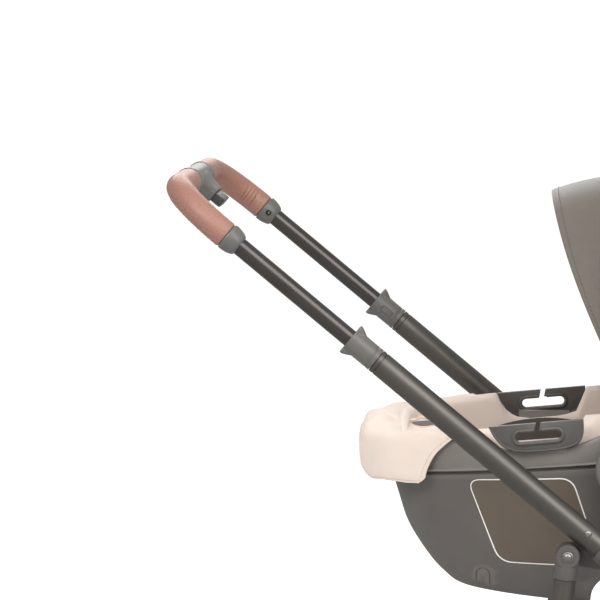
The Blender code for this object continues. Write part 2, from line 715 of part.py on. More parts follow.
def build_casters():
    """The swivelling front wheels: leg knuckles, forks with their axles, and wheels."""
    plastic = moulding("satin_black_plastic")
    crown_top = KNUCKLE_BOTTOM - RUNNING_GAP
    arm_inner = FRONT_WHEEL_WIDTH / 2 + FORK_GAP
    arm_outer = arm_inner + FORK_ARM
    axle = (FRONT_WHEEL_X, FRONT_WHEEL_RADIUS)
    for side in (-1, 1):
        swivel = Vector((SWIVEL_X, side * TRACK, 0.0))
        knuckle = add_piece(
            side_name("caster_socket", side),
            turned(swivel + Vector((0, 0, KNUCKLE_BOTTOM)), (0, 0, 1),
                   [(0.0, KNUCKLE_RADIUS), (KNUCKLE_TOP - KNUCKLE_BOTTOM - 0.004, KNUCKLE_RADIUS),
                    (KNUCKLE_TOP - KNUCKLE_BOTTOM, KNUCKLE_RADIUS - 0.004),
                    (KNUCKLE_TOP - KNUCKLE_BOTTOM + 0.002, 0.008)], FINE_SIDES),
            "front_frame", plastic)
        socket = rod(on_tube(FRONT_LEG_END - 0.038, side), on_tube(FRONT_LEG_END + 0.018, side),
                     SOCKET_RADIUS, FINE_SIDES)
        start = on_tube(FRONT_LEG_END - 0.004, side)
        across, up = Vector((0.0, 1.0, 0.0)), Vector((0.0, 0.0, 1.0))
        rings = []
        for x, low, high, half in (
            (start.x, start.z - 0.016, start.z + 0.019, 0.0160),
            (start.x + 0.030, KNUCKLE_BOTTOM + 0.0010, start.z + 0.010, 0.0150),
            (SWIVEL_X - 0.012, KNUCKLE_BOTTOM + 0.0010, KNUCKLE_TOP - 0.006, 0.0140),
            (SWIVEL_X + 0.006, KNUCKLE_BOTTOM + 0.0010, KNUCKLE_TOP - 0.008, 0.0125),
        ):
            centre = Vector((x, side * TRACK, (low + high) / 2))
            rings.append(rounded_ring(centre, across, up, half, (high - low) / 2, 0.006))
        join(knuckle, [socket, rings_shape(rings)], "front_frame")
        leg_bore = bore(on_tube(FRONT_LEG_END - 0.05, side), on_tube(FRONT_LEG_END + GAP, side),
                       OUTER_RADIUS + GAP, FINE_SIDES)
        stem_bore = bore(swivel + Vector((0, 0, KNUCKLE_BOTTOM - 0.01)),
                        swivel + Vector((0, 0, KNUCKLE_TOP - 0.008)), STEM_RADIUS + RUNNING_GAP, SMALL_SIDES)
        cut(knuckle, [leg_bore, stem_bore], "front_frame")

        caster = f"caster_{'left' if side > 0 else 'right'}"
        fork = add_piece(
            side_name("caster_fork", side),
            turned(swivel + Vector((0, 0, crown_top - 0.004)), (0, 0, 1),
                   [(0.0, STEM_RADIUS), (KNUCKLE_TOP - crown_top - 0.006, STEM_RADIUS)], SMALL_SIDES),
            caster, plastic)
        top = (SWIVEL_X - 0.002, crown_top - 0.0135)
        shapes = []
        for near, far in ((-arm_outer, -arm_inner), (arm_inner, arm_outer)):
            arm = link_outline(axle, 0.0150, top, 0.0135)
            shapes.append(plate(arm, side * TRACK + near, side * TRACK + far))
        crown_low = crown_top - CROWN_THICKNESS
        crown = [
            rounded_ring(Vector((SWIVEL_X - 0.003, side * TRACK, z)), Vector((1, 0, 0)), across,
                         0.021, arm_outer - inset, 0.0120)
            for z, inset in ((crown_low, 0.0006), (crown_top - 0.0015, 0.0006), (crown_top, 0.0020))
        ]
        shapes.append(rings_shape(crown))
        low_y = side * TRACK - arm_outer
        length = 2 * arm_outer
        shapes.append(turned(Vector((axle[0], low_y, axle[1])), (0, 1, 0),
                             [(-0.0020, 0.0050), (-0.0008, 0.0075), (0.0010, 0.0075), (0.0010, 0.0040),
                              (length - 0.0010, 0.0040), (length - 0.0010, 0.0075),
                              (length + 0.0008, 0.0075), (length + 0.0020, 0.0050)], SMALL_SIDES))
        join(fork, shapes, caster)
        wheel = f"front_wheel_{'left' if side > 0 else 'right'}"
        build_wheel("front", side, axle, TRACK, FRONT_WHEEL_RADIUS, FRONT_WHEEL_WIDTH,
                    TYRE_DEPTH_FRONT, 0.0040, wheel)


def build_wheel(which, side, axle, place, radius, width, depth, shaft, body):
    """A spoked rim with its bore, and the tyre on it; the tyre stands on a flat of its tread."""
    half = width / 2
    start = Vector((axle[0], side * place - half, axle[1]))
    seat = radius - depth
    rise = 1.0 / cos(pi / TYRE_SIDES)
    half_step = pi / TYRE_SIDES
    lip = 0.004
    rim_profile = [
        (lip, seat), (half - 0.006, seat - 0.0015), (half + 0.006, seat - 0.0015), (width - lip, seat),
        (width - lip, seat - 0.0050), (half, seat - 0.0070), (lip, seat - 0.0050),
    ]
    rim_profile = [(along, reach * rise) for along, reach in rim_profile]
    rim = add_piece(
        side_name(f"{which}_rim", side),
        turned(start, (0, 1, 0), rim_profile, TYRE_SIDES, closed=True, turn=half_step), body,
        moulding("grey_wheel_plastic"))
    hub_reach = 0.019 if which == "rear" else 0.014
    hub = turned(start, (0, 1, 0),
                 [(0.0, hub_reach - 0.002), (0.002, hub_reach), (width - 0.002, hub_reach),
                  (width, hub_reach - 0.002)], ROUND_SIDES)
    shapes = [hub]
    middle = start + Vector((0.0, half, 0.0))
    for spoke in range(SPOKES):
        angle = 2 * pi * spoke / SPOKES + pi / 2
        out = Vector((cos(angle), 0.0, sin(angle)))
        side_way = Vector((-sin(angle), 0.0, cos(angle)))
        rings = [
            square_ring(middle + out * reach, side_way, Vector((0, 1, 0)), wide, deep)
            for reach, wide, deep in (
                (hub_reach - 0.005, 0.0100, half - 0.0055), (hub_reach + 0.012, 0.0062, half - 0.0085),
                (seat - 0.0035, 0.0084, half - 0.0095))
        ]
        shapes.append(rings_shape(rings))
    join(rim, shapes, body)
    shaft_bore = bore(start - Vector((0, 0.01, 0)), start + Vector((0, width + 0.01, 0)), shaft + RUNNING_GAP, SMALL_SIDES)
    cut(rim, [shaft_bore], body)

    bead = seat + GAP
    shoulder = 0.34 * width
    tyre_profile = [
        (0.003, bead), (0.0, radius - 0.55 * depth), (0.0040, radius - 0.18 * depth), (shoulder, radius),
        (width - shoulder, radius), (width - 0.0040, radius - 0.18 * depth), (width, radius - 0.55 * depth),
        (width - 0.003, bead), (half + 0.006, bead - 0.0015), (half - 0.006, bead - 0.0015),
    ]
    tyre_profile = [(along, reach * rise) for along, reach in tyre_profile]
    add_piece(side_name(f"{which}_tyre", side),
              turned(start, (0, 1, 0), tyre_profile, TYRE_SIDES, closed=True, turn=half_step), body,
              material("tyre_foam_rubber", (0.03, 0.03, 0.03), 0.85))


def build_rear_frame():
    """The folding rear frame: legs with pivot caps, axle with its brackets, and the brake pedal."""
    plastic = moulding("satin_black_plastic")
    pivot = Vector((LEG_PIVOT[0], 0.0, LEG_PIVOT[1]))
    axle = Vector((AXLE_PLACE[0], 0.0, AXLE_PLACE[1]))
    down = (axle - pivot).normalized()
    leg_length = (axle - pivot).length
    for side in (-1, 1):
        shift = Vector((0.0, side * TRACK, 0.0))
        leg_top, leg_end = LEG_CAP_DROP, leg_length - BRACKET_RADIUS - 0.004
        leg = pipe(pivot + shift + down * leg_top, pivot + shift + down * leg_end,
                   LEG_RADIUS, LEG_RADIUS - 0.0018, FINE_SIDES)
        add_piece(side_name("rear_leg", side), leg, "rear_frame", anodised("satin_anodised_tube"))

        spigot = LEG_RADIUS - 0.0018 - GAP
        cap = add_piece(
            side_name("leg_cap", side),
            turned(pivot + shift, down,
                   [(0.0, LEG_CAP_RADIUS), (LEG_CAP_DROP - GAP, LEG_CAP_RADIUS), (LEG_CAP_DROP - GAP, spigot),
                    (LEG_CAP_DROP + 0.020, spigot)], FINE_SIDES),
            "rear_frame", plastic)
        eye = cross_rod(LEG_PIVOT, side, TRACK - LEG_CAP_RADIUS + 0.0004, TRACK + LEG_CAP_RADIUS - 0.0004,
                        LEG_CAP_RADIUS, FINE_SIDES)
        join(cap, [eye], "rear_frame")
        cut(cap, [cross_bore(LEG_PIVOT, side, TRACK - 0.03, TRACK + 0.03,
                            LEG_RIVET_RADIUS + RUNNING_GAP, SMALL_SIDES)], "rear_frame")

        bracket = add_piece(
            side_name("axle_bracket", side),
            cross_rod(AXLE_PLACE, side, TRACK - BRACKET_HALF_WIDTH, TRACK + BRACKET_HALF_WIDTH,
                      BRACKET_RADIUS, FINE_SIDES),
            "rear_frame", plastic)
        socket = rod(axle + shift - down * 0.060, axle + shift, BRACKET_HALF_WIDTH + 0.0001, FINE_SIDES,
                     end_radius=BRACKET_HALF_WIDTH - 0.0002)
        join(bracket, [socket], "rear_frame")
        leg_bore = bore(axle + shift - down * 0.080, axle + shift - down * (BRACKET_RADIUS + 0.0037),
                       LEG_RADIUS + GAP, FINE_SIDES)
        axle_bore = cross_bore(AXLE_PLACE, side, TRACK - 0.03, TRACK + 0.03, AXLE_END_RADIUS + GAP, SMALL_SIDES)
        cut(bracket, [leg_bore, axle_bore], "rear_frame")
        wheel = f"rear_wheel_{'left' if side > 0 else 'right'}"
        build_wheel("rear", side, AXLE_PLACE, REAR_WHEEL_PLACE, REAR_WHEEL_RADIUS, REAR_WHEEL_WIDTH,
                    TYRE_DEPTH_REAR, AXLE_END_RADIUS, wheel)

    tube_half = TRACK - BRACKET_HALF_WIDTH - GAP
    end = REAR_WHEEL_PLACE + REAR_WHEEL_WIDTH / 2 + 0.0004
    cap = 0.0028
    profile = [
        (-end - cap, 0.0060), (-end - cap + 0.001, 0.0085), (-end, 0.0085), (-end, AXLE_END_RADIUS),
        (-tube_half, AXLE_END_RADIUS), (-tube_half, AXLE_TUBE_RADIUS), (tube_half, AXLE_TUBE_RADIUS),
        (tube_half, AXLE_END_RADIUS), (end, AXLE_END_RADIUS), (end, 0.0085),
        (end + cap - 0.001, 0.0085), (end + cap, 0.0060),
    ]
    add_piece("rear_axle", turned(axle, (0, 1, 0), profile, ROUND_SIDES), "rear_frame",
              anodised("satin_anodised_tube"))

    pedal = add_piece(
        "brake_pedal",
        rod(axle - Vector((0, PEDAL_HALF_WIDTH, 0)), axle + Vector((0, PEDAL_HALF_WIDTH, 0)),
            AXLE_TUBE_RADIUS + 0.0040, ROUND_SIDES), "brake", plastic)
    across, up = Vector((0.0, 1.0, 0.0)), Vector((0.0, 0.0, 1.0))
    rings = [
        rounded_ring(axle + Vector((x, 0.0, z)), across, up, half, thick, thick * 0.8, 2)
        for x, z, half, thick in (
            (-0.006, 0.000, PEDAL_HALF_WIDTH - 0.004, 0.0060), (-0.026, 0.003, PEDAL_HALF_WIDTH - 0.008, 0.0045),
            (-0.045, 0.001, PEDAL_HALF_WIDTH, 0.0050), (-PEDAL_LENGTH, -0.004, PEDAL_HALF_WIDTH, 0.0045))
    ]
    join(pedal, [rings_shape(rings)], "brake")
    cut(pedal, [bore(axle - Vector((0, 0.08, 0)), axle + Vector((0, 0.08, 0)),
                    AXLE_TUBE_RADIUS + RUNNING_GAP, ROUND_SIDES)], "brake")


def build_middle():
    """What ties the side frames together: cross tube, basket wire and the storage basket."""
    reach = TRACK - OUTER_RADIUS - GAP
    cross = on_tube(CROSS_TUBE_STATION, 1)
    tube = rod((cross.x, -reach, cross.z), (cross.x, reach, cross.z), CROSS_TUBE_RADIUS)
    add_piece("cross_tube", tube, "front_frame", anodised("satin_anodised_tube"))

    middle_x = (BASKET_REAR + BASKET_FRONT) / 2
    half_x = (BASKET_FRONT - BASKET_REAR) / 2
    x_axis, y_axis = Vector((1, 0, 0)), Vector((0, 1, 0))
    rings = []
    for step in range(8):
        angle = 2 * pi * step / 8
        out = BASKET_WIRE * cos(angle)
        rings.append(rounded_ring(
            Vector((middle_x, 0.0, BASKET_TOP + BASKET_WIRE * sin(angle))), x_axis, y_axis,
            half_x + out, BASKET_HALF_WIDTH + out, 0.045 + out, 4))
    frame = add_piece("basket_frame", rings_shape(rings, closed=True), "front_frame",
                      anodised("satin_anodised_tube"))
    leg_station = (HINGE_FOOT.z - BASKET_TOP) / sin(TUBE_SLOPE)
    leg_x = on_tube(leg_station, 1).x
    stubs = [
        cross_rod((leg_x, BASKET_TOP), side, BASKET_HALF_WIDTH, reach, BASKET_WIRE * 0.9, 8)
        for side in (-1, 1)
    ]
    join(frame, stubs, "front_frame")

    top = BASKET_TOP - BASKET_WIRE - GAP
    levels = ((BASKET_BOTTOM, -0.092, 0.150, 0.165, 0.050), (BASKET_BOTTOM + 0.012, -0.098, 0.158, 0.174, 0.055),
              (0.5 * (BASKET_BOTTOM + top), -0.103, 0.186, 0.190, 0.052), (top, BASKET_REAR, BASKET_FRONT,
                                                                           BASKET_HALF_WIDTH, 0.045))

    def basket_rings(wall):
        made = []
        for z, rear, front, half, corner in levels:
            height = max(z, BASKET_BOTTOM + wall)
            made.append(rounded_ring(
                Vector(((rear + front) / 2, 0.0, height)), x_axis, y_axis,
                (front - rear) / 2 - wall, half - wall, corner - wall, 4))
        return made

    outside, inside = basket_rings(0.0), basket_rings(BASKET_WALL)
    add_piece("storage_basket", rings_shape(outside + inside[::-1]), "front_frame",
              material("black_woven_fabric", (0.05, 0.05, 0.05), 0.9))


def smooth_step(value, low, high):
    part = min(max((value - low) / (high - low), 0.0), 1.0)
    return part * part * (3.0 - 2.0 * part)


def ledge_height(x):
    """Height of the ledge between shell and rim; it climbs round the baby's head."""
    return LEDGE_FOOT + LEDGE_RISE * (x - SHELL_FOOT) + RIM_HEAD_RISE * smooth_step(x, 0.02, SHELL_HEAD)


def bottom_height(x):
    """Height of the shell's underside: flat in the middle, raised towards both ends."""
    return SHELL_BOTTOM + 0.085 * max(ARCH_FROM - x, 0.0) + 0.10 * max(x - ARCH_TO, 0.0)


def plan_ring(foot, head, half_width, height_at, sides=PLAN_SIDES, power=3.2):
    """A ring that is a rounded oblong seen from above, at the heights that height_at gives."""
    middle, reach = (foot + head) / 2, (head - foot) / 2
    ring = []
    for i in range(sides):
        angle = 2 * pi * (i + 0.5) / sides
        c, s = cos(angle), sin(angle)
        x = middle + reach * abs(c) ** (2 / power) * (1 if c > 0 else -1)
        y = half_width * abs(s) ** (2 / power) * (1 if s > 0 else -1)
        ring.append(Vector((x, y, height_at(x))))
    return ring


def shell_levels():
    """Outline of the shell from ledge to underside: (share of the height, foot, head, half-width)."""
    foot, head, wide = SHELL_FOOT, SHELL_HEAD, SHELL_HALF_WIDTH
    return (
        (0.00, foot, head, wide), (0.30, foot + 0.021, head - 0.017, wide - 0.006),
        (0.62, foot + 0.046, head - 0.046, wide - 0.014), (0.84, foot + 0.067, head - 0.072, wide - 0.023),
        (0.97, foot + 0.084, head - 0.096, wide - 0.033), (1.00, foot + 0.094, head - 0.110, wide - 0.042),
    )


def shell_rings(inset, floor):
    """The shell's rings moved in by a wall, no lower than a floor above the underside."""
    rings = []
    for share, foot, head, half in shell_levels():
        def height_at(x, share=share):
            top, low = ledge_height(x), bottom_height(x)
            return max(top + (low - top) * share, low + floor)
        rings.append(plan_ring(foot + inset, head - inset, half - inset, height_at))
    return rings


def build_shell():
    """The carrier's hard parts: shell with adapter sockets, rim with canopy pins, belt guides."""
    plastic = moulding("textured_shell_plastic")
    outside, inside = shell_rings(0.0, 0.0), shell_rings(SHELL_WALL, SHELL_WALL)
    _, foot, head, half = shell_levels()[-1]
    outside += closing_rings(foot, head, half, bottom_height)
    inside += closing_rings(foot + SHELL_WALL, head - SHELL_WALL, half - SHELL_WALL,
                            lambda x: bottom_height(x) + SHELL_WALL)
    shell = add_piece("carrier_shell", rings_shape(outside[::-1] + inside), "carrier", plastic, 35.0)
    shapes, cuts = [], []
    boss_low, boss_top = ADAPTER_TOP + GAP, BOSS_TOP
    tongue_top = ADAPTER_TOP + ADAPTER_TONGUE
    for side in (-1, 1):
        rings = []
        across, x_axis = Vector((0, 1, 0)), Vector((1, 0, 0))
        for z, half_x, outer in ((boss_low, BOSS_HALF_LENGTH, BOSS_OUTER),
                                 (boss_top - 0.006, BOSS_HALF_LENGTH, BOSS_OUTER),
                                 (boss_top, BOSS_HALF_LENGTH - 0.005, BOSS_OUTER - 0.004)):
            inner = SHELL_HALF_WIDTH - 0.0125 + 0.12 * (z - boss_low)
            centre = Vector((0.0, side * (inner + outer) / 2, z))
            rings.append(rounded_ring(centre, x_axis, across, half_x, (outer - inner) / 2, 0.004, 2))
        shapes.append(rings_shape(rings))
        shapes.append(cross_rod(HUB_CENTRE, side, SHELL_HALF_WIDTH - 0.004, HUB_INNER - GAP, HUB_BOSS_RADIUS))
        shapes.append(cross_rod(HUB_CENTRE, side, HUB_INNER - 0.002, HUB_OUTER - 0.0095, 0.005, SMALL_SIDES))
        low_y, high_y = span(side, TONGUE_NEAR - RUNNING_GAP, TONGUE_FAR + RUNNING_GAP)
        half = TONGUE_HALF_LENGTH + RUNNING_GAP
        cuts.append(box((-half, low_y, boss_low - 0.01), (half, high_y, tongue_top + 0.001)))
    join(shell, shapes, "carrier")
    middle, reach = (ARCH_FROM + ARCH_TO) / 2, (ARCH_TO - ARCH_FROM) / 2
    arch = [(middle + reach * cos(pi * i / 10), SHELL_BOTTOM + ARCH_HEIGHT * sin(pi * i / 10) ** 0.8)
            for i in range(11)]
    tunnel = []
    for x, z in arch:
        top = z + SHELL_WALL
        lean = ARCH_LEAN * (top - SHELL_BOTTOM)
        corners = ((-ARCH_HALF, SHELL_BOTTOM + 0.001), (ARCH_HALF, SHELL_BOTTOM + 0.001),
                   (ARCH_HALF + lean, top), (-ARCH_HALF - lean, top))
        wide = middle + (x - middle) * 1.06
        tunnel.append([Vector((wide, y, height)) for y, height in corners])
    join(shell, [rings_shape(tunnel)], "carrier")
    outline = arch + [(ARCH_FROM, SHELL_BOTTOM - 0.02), (ARCH_TO, SHELL_BOTTOM - 0.02)]
    cuts.append(plate(outline, -SHELL_HALF_WIDTH - 0.03, SHELL_HALF_WIDTH + 0.03))
    cut(shell, cuts, "carrier")


def rim_height(x):
    """Height of the rim above the ledge: lowest beside the belt guides."""
    return (RIM_HEIGHT + RIM_FOOT_HEIGHT * smooth_step(-x, 0.165, 0.210)
            + RIM_HUB_HEIGHT * smooth_step(x, -0.085, -0.055))


def rim_rings(inset):
    rings = []
    for share, grow in ((0.0, RIM_PROUD), (0.10, RIM_PROUD), (0.85, RIM_PROUD + 0.001), (1.0, RIM_PROUD - 0.002)):
        def height_at(x, share=share):
            return ledge_height(x) + GAP + rim_height(x) * share
        grow -= inset
        rings.append(plan_ring(SHELL_FOOT - grow, SHELL_HEAD + grow, SHELL_HALF_WIDTH + grow, height_at))
    return rings


def build_rim():
    """The lighter rim round the top of the shell, with the canopy's pins and the belt-guide pads."""
    plastic = moulding("satin_rim_plastic")
    outside, inside = rim_rings(0.0), rim_rings(RIM_PROUD + 0.0045)
    rim = add_piece("carrier_rim", rings_shape(outside + inside[::-1], closed=True), "carrier", plastic, 35.0)
    rear_layer = CANOPY_HALF_WIDTH - 2 * CANOPY_STEP - CANOPY_WALL - GAP
    shapes = []
    for side in (-1, 1):
        shapes.append(cross_rod(CANOPY_PIVOT, side, SHELL_HALF_WIDTH - 0.003, rear_layer, CANOPY_HUB - 0.004))
        shapes.append(cross_rod(CANOPY_PIVOT, side, SHELL_HALF_WIDTH, HUB_INNER - 0.0012, CANOPY_PIN_RADIUS, SMALL_SIDES))
        low_y, high_y = span(side, SHELL_HALF_WIDTH - 0.0065, GUIDE_PLACE - GUIDE_THICKNESS / 2 - GAP)
        x, z = GUIDE_CENTRE
        shapes.append(box((x - 0.030, low_y, z - 0.0130), (x + 0.036, high_y, z - 0.0085)))
    join(rim, shapes, "carrier")

    for side in (-1, 1):
        build_belt_guide(side)


def build_belt_guide(side):
    """A car-belt guide: a plate with a long slot that the belt enters through a slanted gap."""
    length, height = GUIDE_LENGTH, GUIDE_HEIGHT
    half = GUIDE_THICKNESS / 2
    top = height / 2
    outline = [
        (-length / 2, top), (-length / 2 + 0.005, top - 0.0135), (-length / 2 + 0.017, -top + 0.007),
        (-length / 2 + 0.030, -top), (length / 2 - 0.028, -top), (length / 2 - 0.012, -top + 0.0085),
        (length / 2 - 0.001, top - 0.012), (length / 2, top),
    ]
    turn = Matrix.Rotation(-GUIDE_TILT, 4, "Y")
    place = Matrix.Translation((GUIDE_CENTRE[0], side * GUIDE_PLACE, GUIDE_CENTRE[1])) @ turn
    shape = plate(outline, -half, half)
    shape.transform(place)
    guide = add_piece(side_name("belt_guide", side), shape, "carrier", moulding("satin_grey_plastic"))
    slot_x, slot_z = 0.004, top - 0.0100 - GUIDE_SLOT_HEIGHT / 2
    reach = GUIDE_SLOT_LENGTH / 2 - GUIDE_SLOT_HEIGHT / 2
    slot = plate(link_outline((slot_x - reach, slot_z), GUIDE_SLOT_HEIGHT / 2,
                              (slot_x + reach, slot_z), GUIDE_SLOT_HEIGHT / 2, 6), -0.02, 0.02)
    lean, entry = 0.003, GUIDE_ENTRY / 2
    mouth = plate([(slot_x + lean - entry, top + 0.004), (slot_x + lean + entry, top + 0.004),
                   (slot_x - lean + entry, slot_z), (slot_x - lean - entry, slot_z)], -0.02, 0.02)
    for cutter in (slot, mouth):
        cutter.transform(place)
    cut(guide, [slot, mouth], "carrier")
    bevel(guide, 0.0012, 1, 30.0)


def build_adapters():
    """The adapters that carry the infant carrier: a shoulder on each fold hub, with an upright tongue."""
    plastic = moulding("satin_black_plastic")
    for side in (-1, 1):
        low_y, high_y = span(side, ADAPTER_INNER, HUB_INBOARD - GAP)
        half = ADAPTER_HALF_LENGTH
        outline = [(-half + 0.012, ADAPTER_BOTTOM), (half - 0.012, ADAPTER_BOTTOM), (half, ADAPTER_BOTTOM + 0.016),
                   (half, ADAPTER_TOP), (-half, ADAPTER_TOP), (-half, ADAPTER_BOTTOM + 0.016)]
        adapter = add_piece(side_name("adapter", side), plate(outline, low_y, high_y), "front_frame", plastic)
        low_y, high_y = span(side, TONGUE_NEAR, TONGUE_FAR)
        across = Vector((0, 1, 0))
        rings = []
        for z, half_x, half_y in ((ADAPTER_TOP - 0.010, TONGUE_HALF_LENGTH, (high_y - low_y) / 2),
                                  (ADAPTER_TOP + ADAPTER_TONGUE - 0.006, TONGUE_HALF_LENGTH, (high_y - low_y) / 2),
                                  (ADAPTER_TOP + ADAPTER_TONGUE, TONGUE_HALF_LENGTH - 0.004,
                                   (high_y - low_y) / 2 - 0.002)):
            centre = Vector((0.0, (low_y + high_y) / 2, z))
            rings.append(rounded_ring(centre, Vector((1, 0, 0)), across, half_x, half_y, 0.0015, 2))
        join(adapter, [rings_shape(rings)], "front_frame")


def build_carry_handle():
    """The carry handle: hub discs on the shell's bosses, arms and crossbar, with a button in each hub."""
    hub = Vector((HUB_CENTRE[0], 0.0, HUB_CENTRE[1]))
    place = (HUB_INNER + HUB_OUTER) / 2
    half = (HUB_OUTER - HUB_INNER) / 2
    points = [hub + Vector((0.0, place, 0.010))]
    for side in (1, -1):
        quarter = []
        for i in range(8):
            angle = pi / 2 * i / 7
            quarter.append(hub + Vector((
                0.0, side * (place - CARRY_BEND + CARRY_BEND * cos(angle)),
                CARRY_REACH - CARRY_BEND + CARRY_BEND * sin(angle))))
        points += quarter if side > 0 else quarter[::-1]
    points.append(hub + Vector((0.0, -place, 0.010)))
    rings = path_rings(points, CARRY_RADIUS, ROUND_SIDES, half - 0.0003)
    handle = add_piece("carry_handle", rings_shape(rings), "carry_handle", moulding("satin_grey_plastic"))
    discs, cuts = [], []
    for side in (-1, 1):
        start = Vector((hub.x, side * HUB_INNER, hub.z))
        thick = HUB_OUTER - HUB_INNER
        discs.append(turned(start, (0, side, 0), [
            (0.0, HUB_RADIUS - 0.001), (0.001, HUB_RADIUS), (thick - 0.003, HUB_RADIUS),
            (thick, HUB_RADIUS - 0.004)], FINE_SIDES))
        cuts.append(cross_bore(HUB_CENTRE, side, HUB_INNER - 0.01, HUB_OUTER - 0.0093, 0.0056, SMALL_SIDES))
        pocket = HUB_OUTER - HUB_BUTTON_TRAVEL - BUTTON_THICKNESS - GAP
        cuts.append(cross_rod(HUB_CENTRE, side, pocket, HUB_OUTER + 0.01,
                              HUB_BUTTON_RADIUS + RUNNING_GAP, ROUND_SIDES))
        button = turned(
            Vector((hub.x, side * (HUB_OUTER - BUTTON_THICKNESS), hub.z)), (0, side, 0),
            [(0.0, HUB_BUTTON_RADIUS), (BUTTON_THICKNESS - 0.001, HUB_BUTTON_RADIUS),
             (BUTTON_THICKNESS, HUB_BUTTON_RADIUS - 0.0015)], ROUND_SIDES)
        which = "left" if side > 0 else "right"
        add_piece(side_name("handle_button", side), button, f"handle_button_{which}", moulding("dark_plastic"))
    join(handle, discs, "carry_handle")
    cut(handle, cuts, "carry_handle")


def canopy_arch(radius, half_width, angle, steps=14, lowest=0.009):
    """Half-hoop of the canopy at one angle about its pivot: a squared-off arch from side to side."""
    points = []
    first = (1.0 - (lowest / radius) ** CANOPY_POWER) ** (1.0 / CANOPY_POWER)
    turn_at = atan2((lowest / radius) ** (CANOPY_POWER / 2), first ** (CANOPY_POWER / 2))
    for i in range(steps + 1):
        turn = turn_at + (pi - 2 * turn_at) * i / steps
        c, s = cos(turn), sin(turn)
        y = half_width * abs(c) ** (2 / CANOPY_POWER) * (1 if c > 0 else -1)
        reach = radius * s ** (2 / CANOPY_POWER)
        points.append(Vector((CANOPY_PIVOT[0] + reach * cos(angle), y, CANOPY_PIVOT[1] + reach * sin(angle))))
    return points


def build_canopy():
    """Three nested canopy segments on the rim's pins; the front two fold back over the rear one."""
    fabric = material("taupe_canopy_fabric", (0.16, 0.14, 0.12), 0.85)
    for number, (name, body) in enumerate((("canopy_front", "canopy_front"), ("canopy_mid", "canopy_mid"),
                                           ("canopy_rear", "carrier"))):
        inset = number * CANOPY_STEP
        front = CANOPY_FRONT - number * CANOPY_TURN
        outer, inner = inset, inset + CANOPY_WALL
        rings = []
        for i in range(5):
            angle = front - CANOPY_SPAN * i / 4
            outside = canopy_arch(CANOPY_RADIUS - outer, CANOPY_HALF_WIDTH - outer, angle)
            inside = canopy_arch(CANOPY_RADIUS - inner, CANOPY_HALF_WIDTH - inner, angle)
            rings.append(outside + inside[::-1])
        segment = add_piece(name, rings_shape(rings), body, fabric, 35.0)
        ears, bores = [], []
        for side in (-1, 1):
            near = CANOPY_HALF_WIDTH - inner - 0.0001
            ears.append(cross_rod(CANOPY_PIVOT, side, near, CANOPY_HALF_WIDTH - outer + 0.0002, CANOPY_HUB))
            bores.append(cross_bore(CANOPY_PIVOT, side, near - 0.005, CANOPY_HALF_WIDTH - outer + 0.005,
                                   CANOPY_PIN_RADIUS + RUNNING_GAP, SMALL_SIDES))
        join(segment, ears, body)
        cut(segment, bores, body)


def closing_rings(foot, head, half_width, height_at, scales=(0.62, 0.22), sides=PLAN_SIDES):
    """Shrinking rings that close a plan ring with a floor that follows height_at."""
    middle, reach = (foot + head) / 2, (head - foot) / 2
    return [
        plan_ring(middle - reach * scale, middle + reach * scale, half_width * scale, height_at, sides)
        for scale in scales
    ]


def seat_height(x):
    """Height of the padded seat: level under the baby, climbing behind its back and under its feet."""
    return SEAT_HEIGHT + BACK_RISE * smooth_step(x, 0.02, 0.28) + FOOT_RISE * smooth_step(-x, 0.10, 0.28)


def liner_top(x):
    """Height of the liner's edge, which drops so that a belt can pass through the guides."""
    dip = GUIDE_DIP * smooth_step(x, -0.215, -0.165) * smooth_step(-x, 0.0, 0.080)
    return ledge_height(x) + LINER_RISE - dip


def build_liner():
    """The padded liner that fills the shell and stands a little above its rim; returns its surface."""
    inset = SHELL_WALL + 0.0035
    levels = [(foot + inset, head - inset, half - inset, share) for share, foot, head, half in shell_levels()[:3]]

    def outer_height(share):
        def height_at(x):
            top, low = ledge_height(x), bottom_height(x)
            return max(top + (low - top) * share, SHELL_BOTTOM + LINER_FLOOR)
        return height_at

    outside = [plan_ring(foot, head, half, outer_height(share)) for foot, head, half, share in levels]
    foot, head, half, _ = levels[0]
    outside.insert(0, plan_ring(foot, head, half, lambda x: liner_top(x) - 0.004))
    outside.insert(0, plan_ring(foot + 0.003, head - 0.003, half - 0.003, liner_top))
    low_foot, low_head, low_half, low_share = levels[-1]
    outside += closing_rings(low_foot, low_head, low_half, outer_height(low_share))
    pad = LINER_PAD

    def inner_height(share):
        outer = outer_height(share)
        return lambda x: max(outer(x), seat_height(x))

    inside = [plan_ring(foot + pad, head - pad, half - pad, lambda x: liner_top(x) - 0.002)]
    inside += [plan_ring(foot + pad, head - pad, half - pad, inner_height(share))
               for foot, head, half, share in levels[:2]]
    inside += closing_rings(levels[1][0] + pad, levels[1][1] - pad, levels[1][2] - pad, seat_height,
                            scales=(0.80, 0.60, 0.40, 0.20))
    shape = rings_shape(outside[::-1] + inside)
    surface = BVHTree.FromBMesh(shape)
    add_piece("seat_liner", shape, "carrier", material("beige_quilted_fabric", (0.78, 0.69, 0.58), 0.9))
    return surface


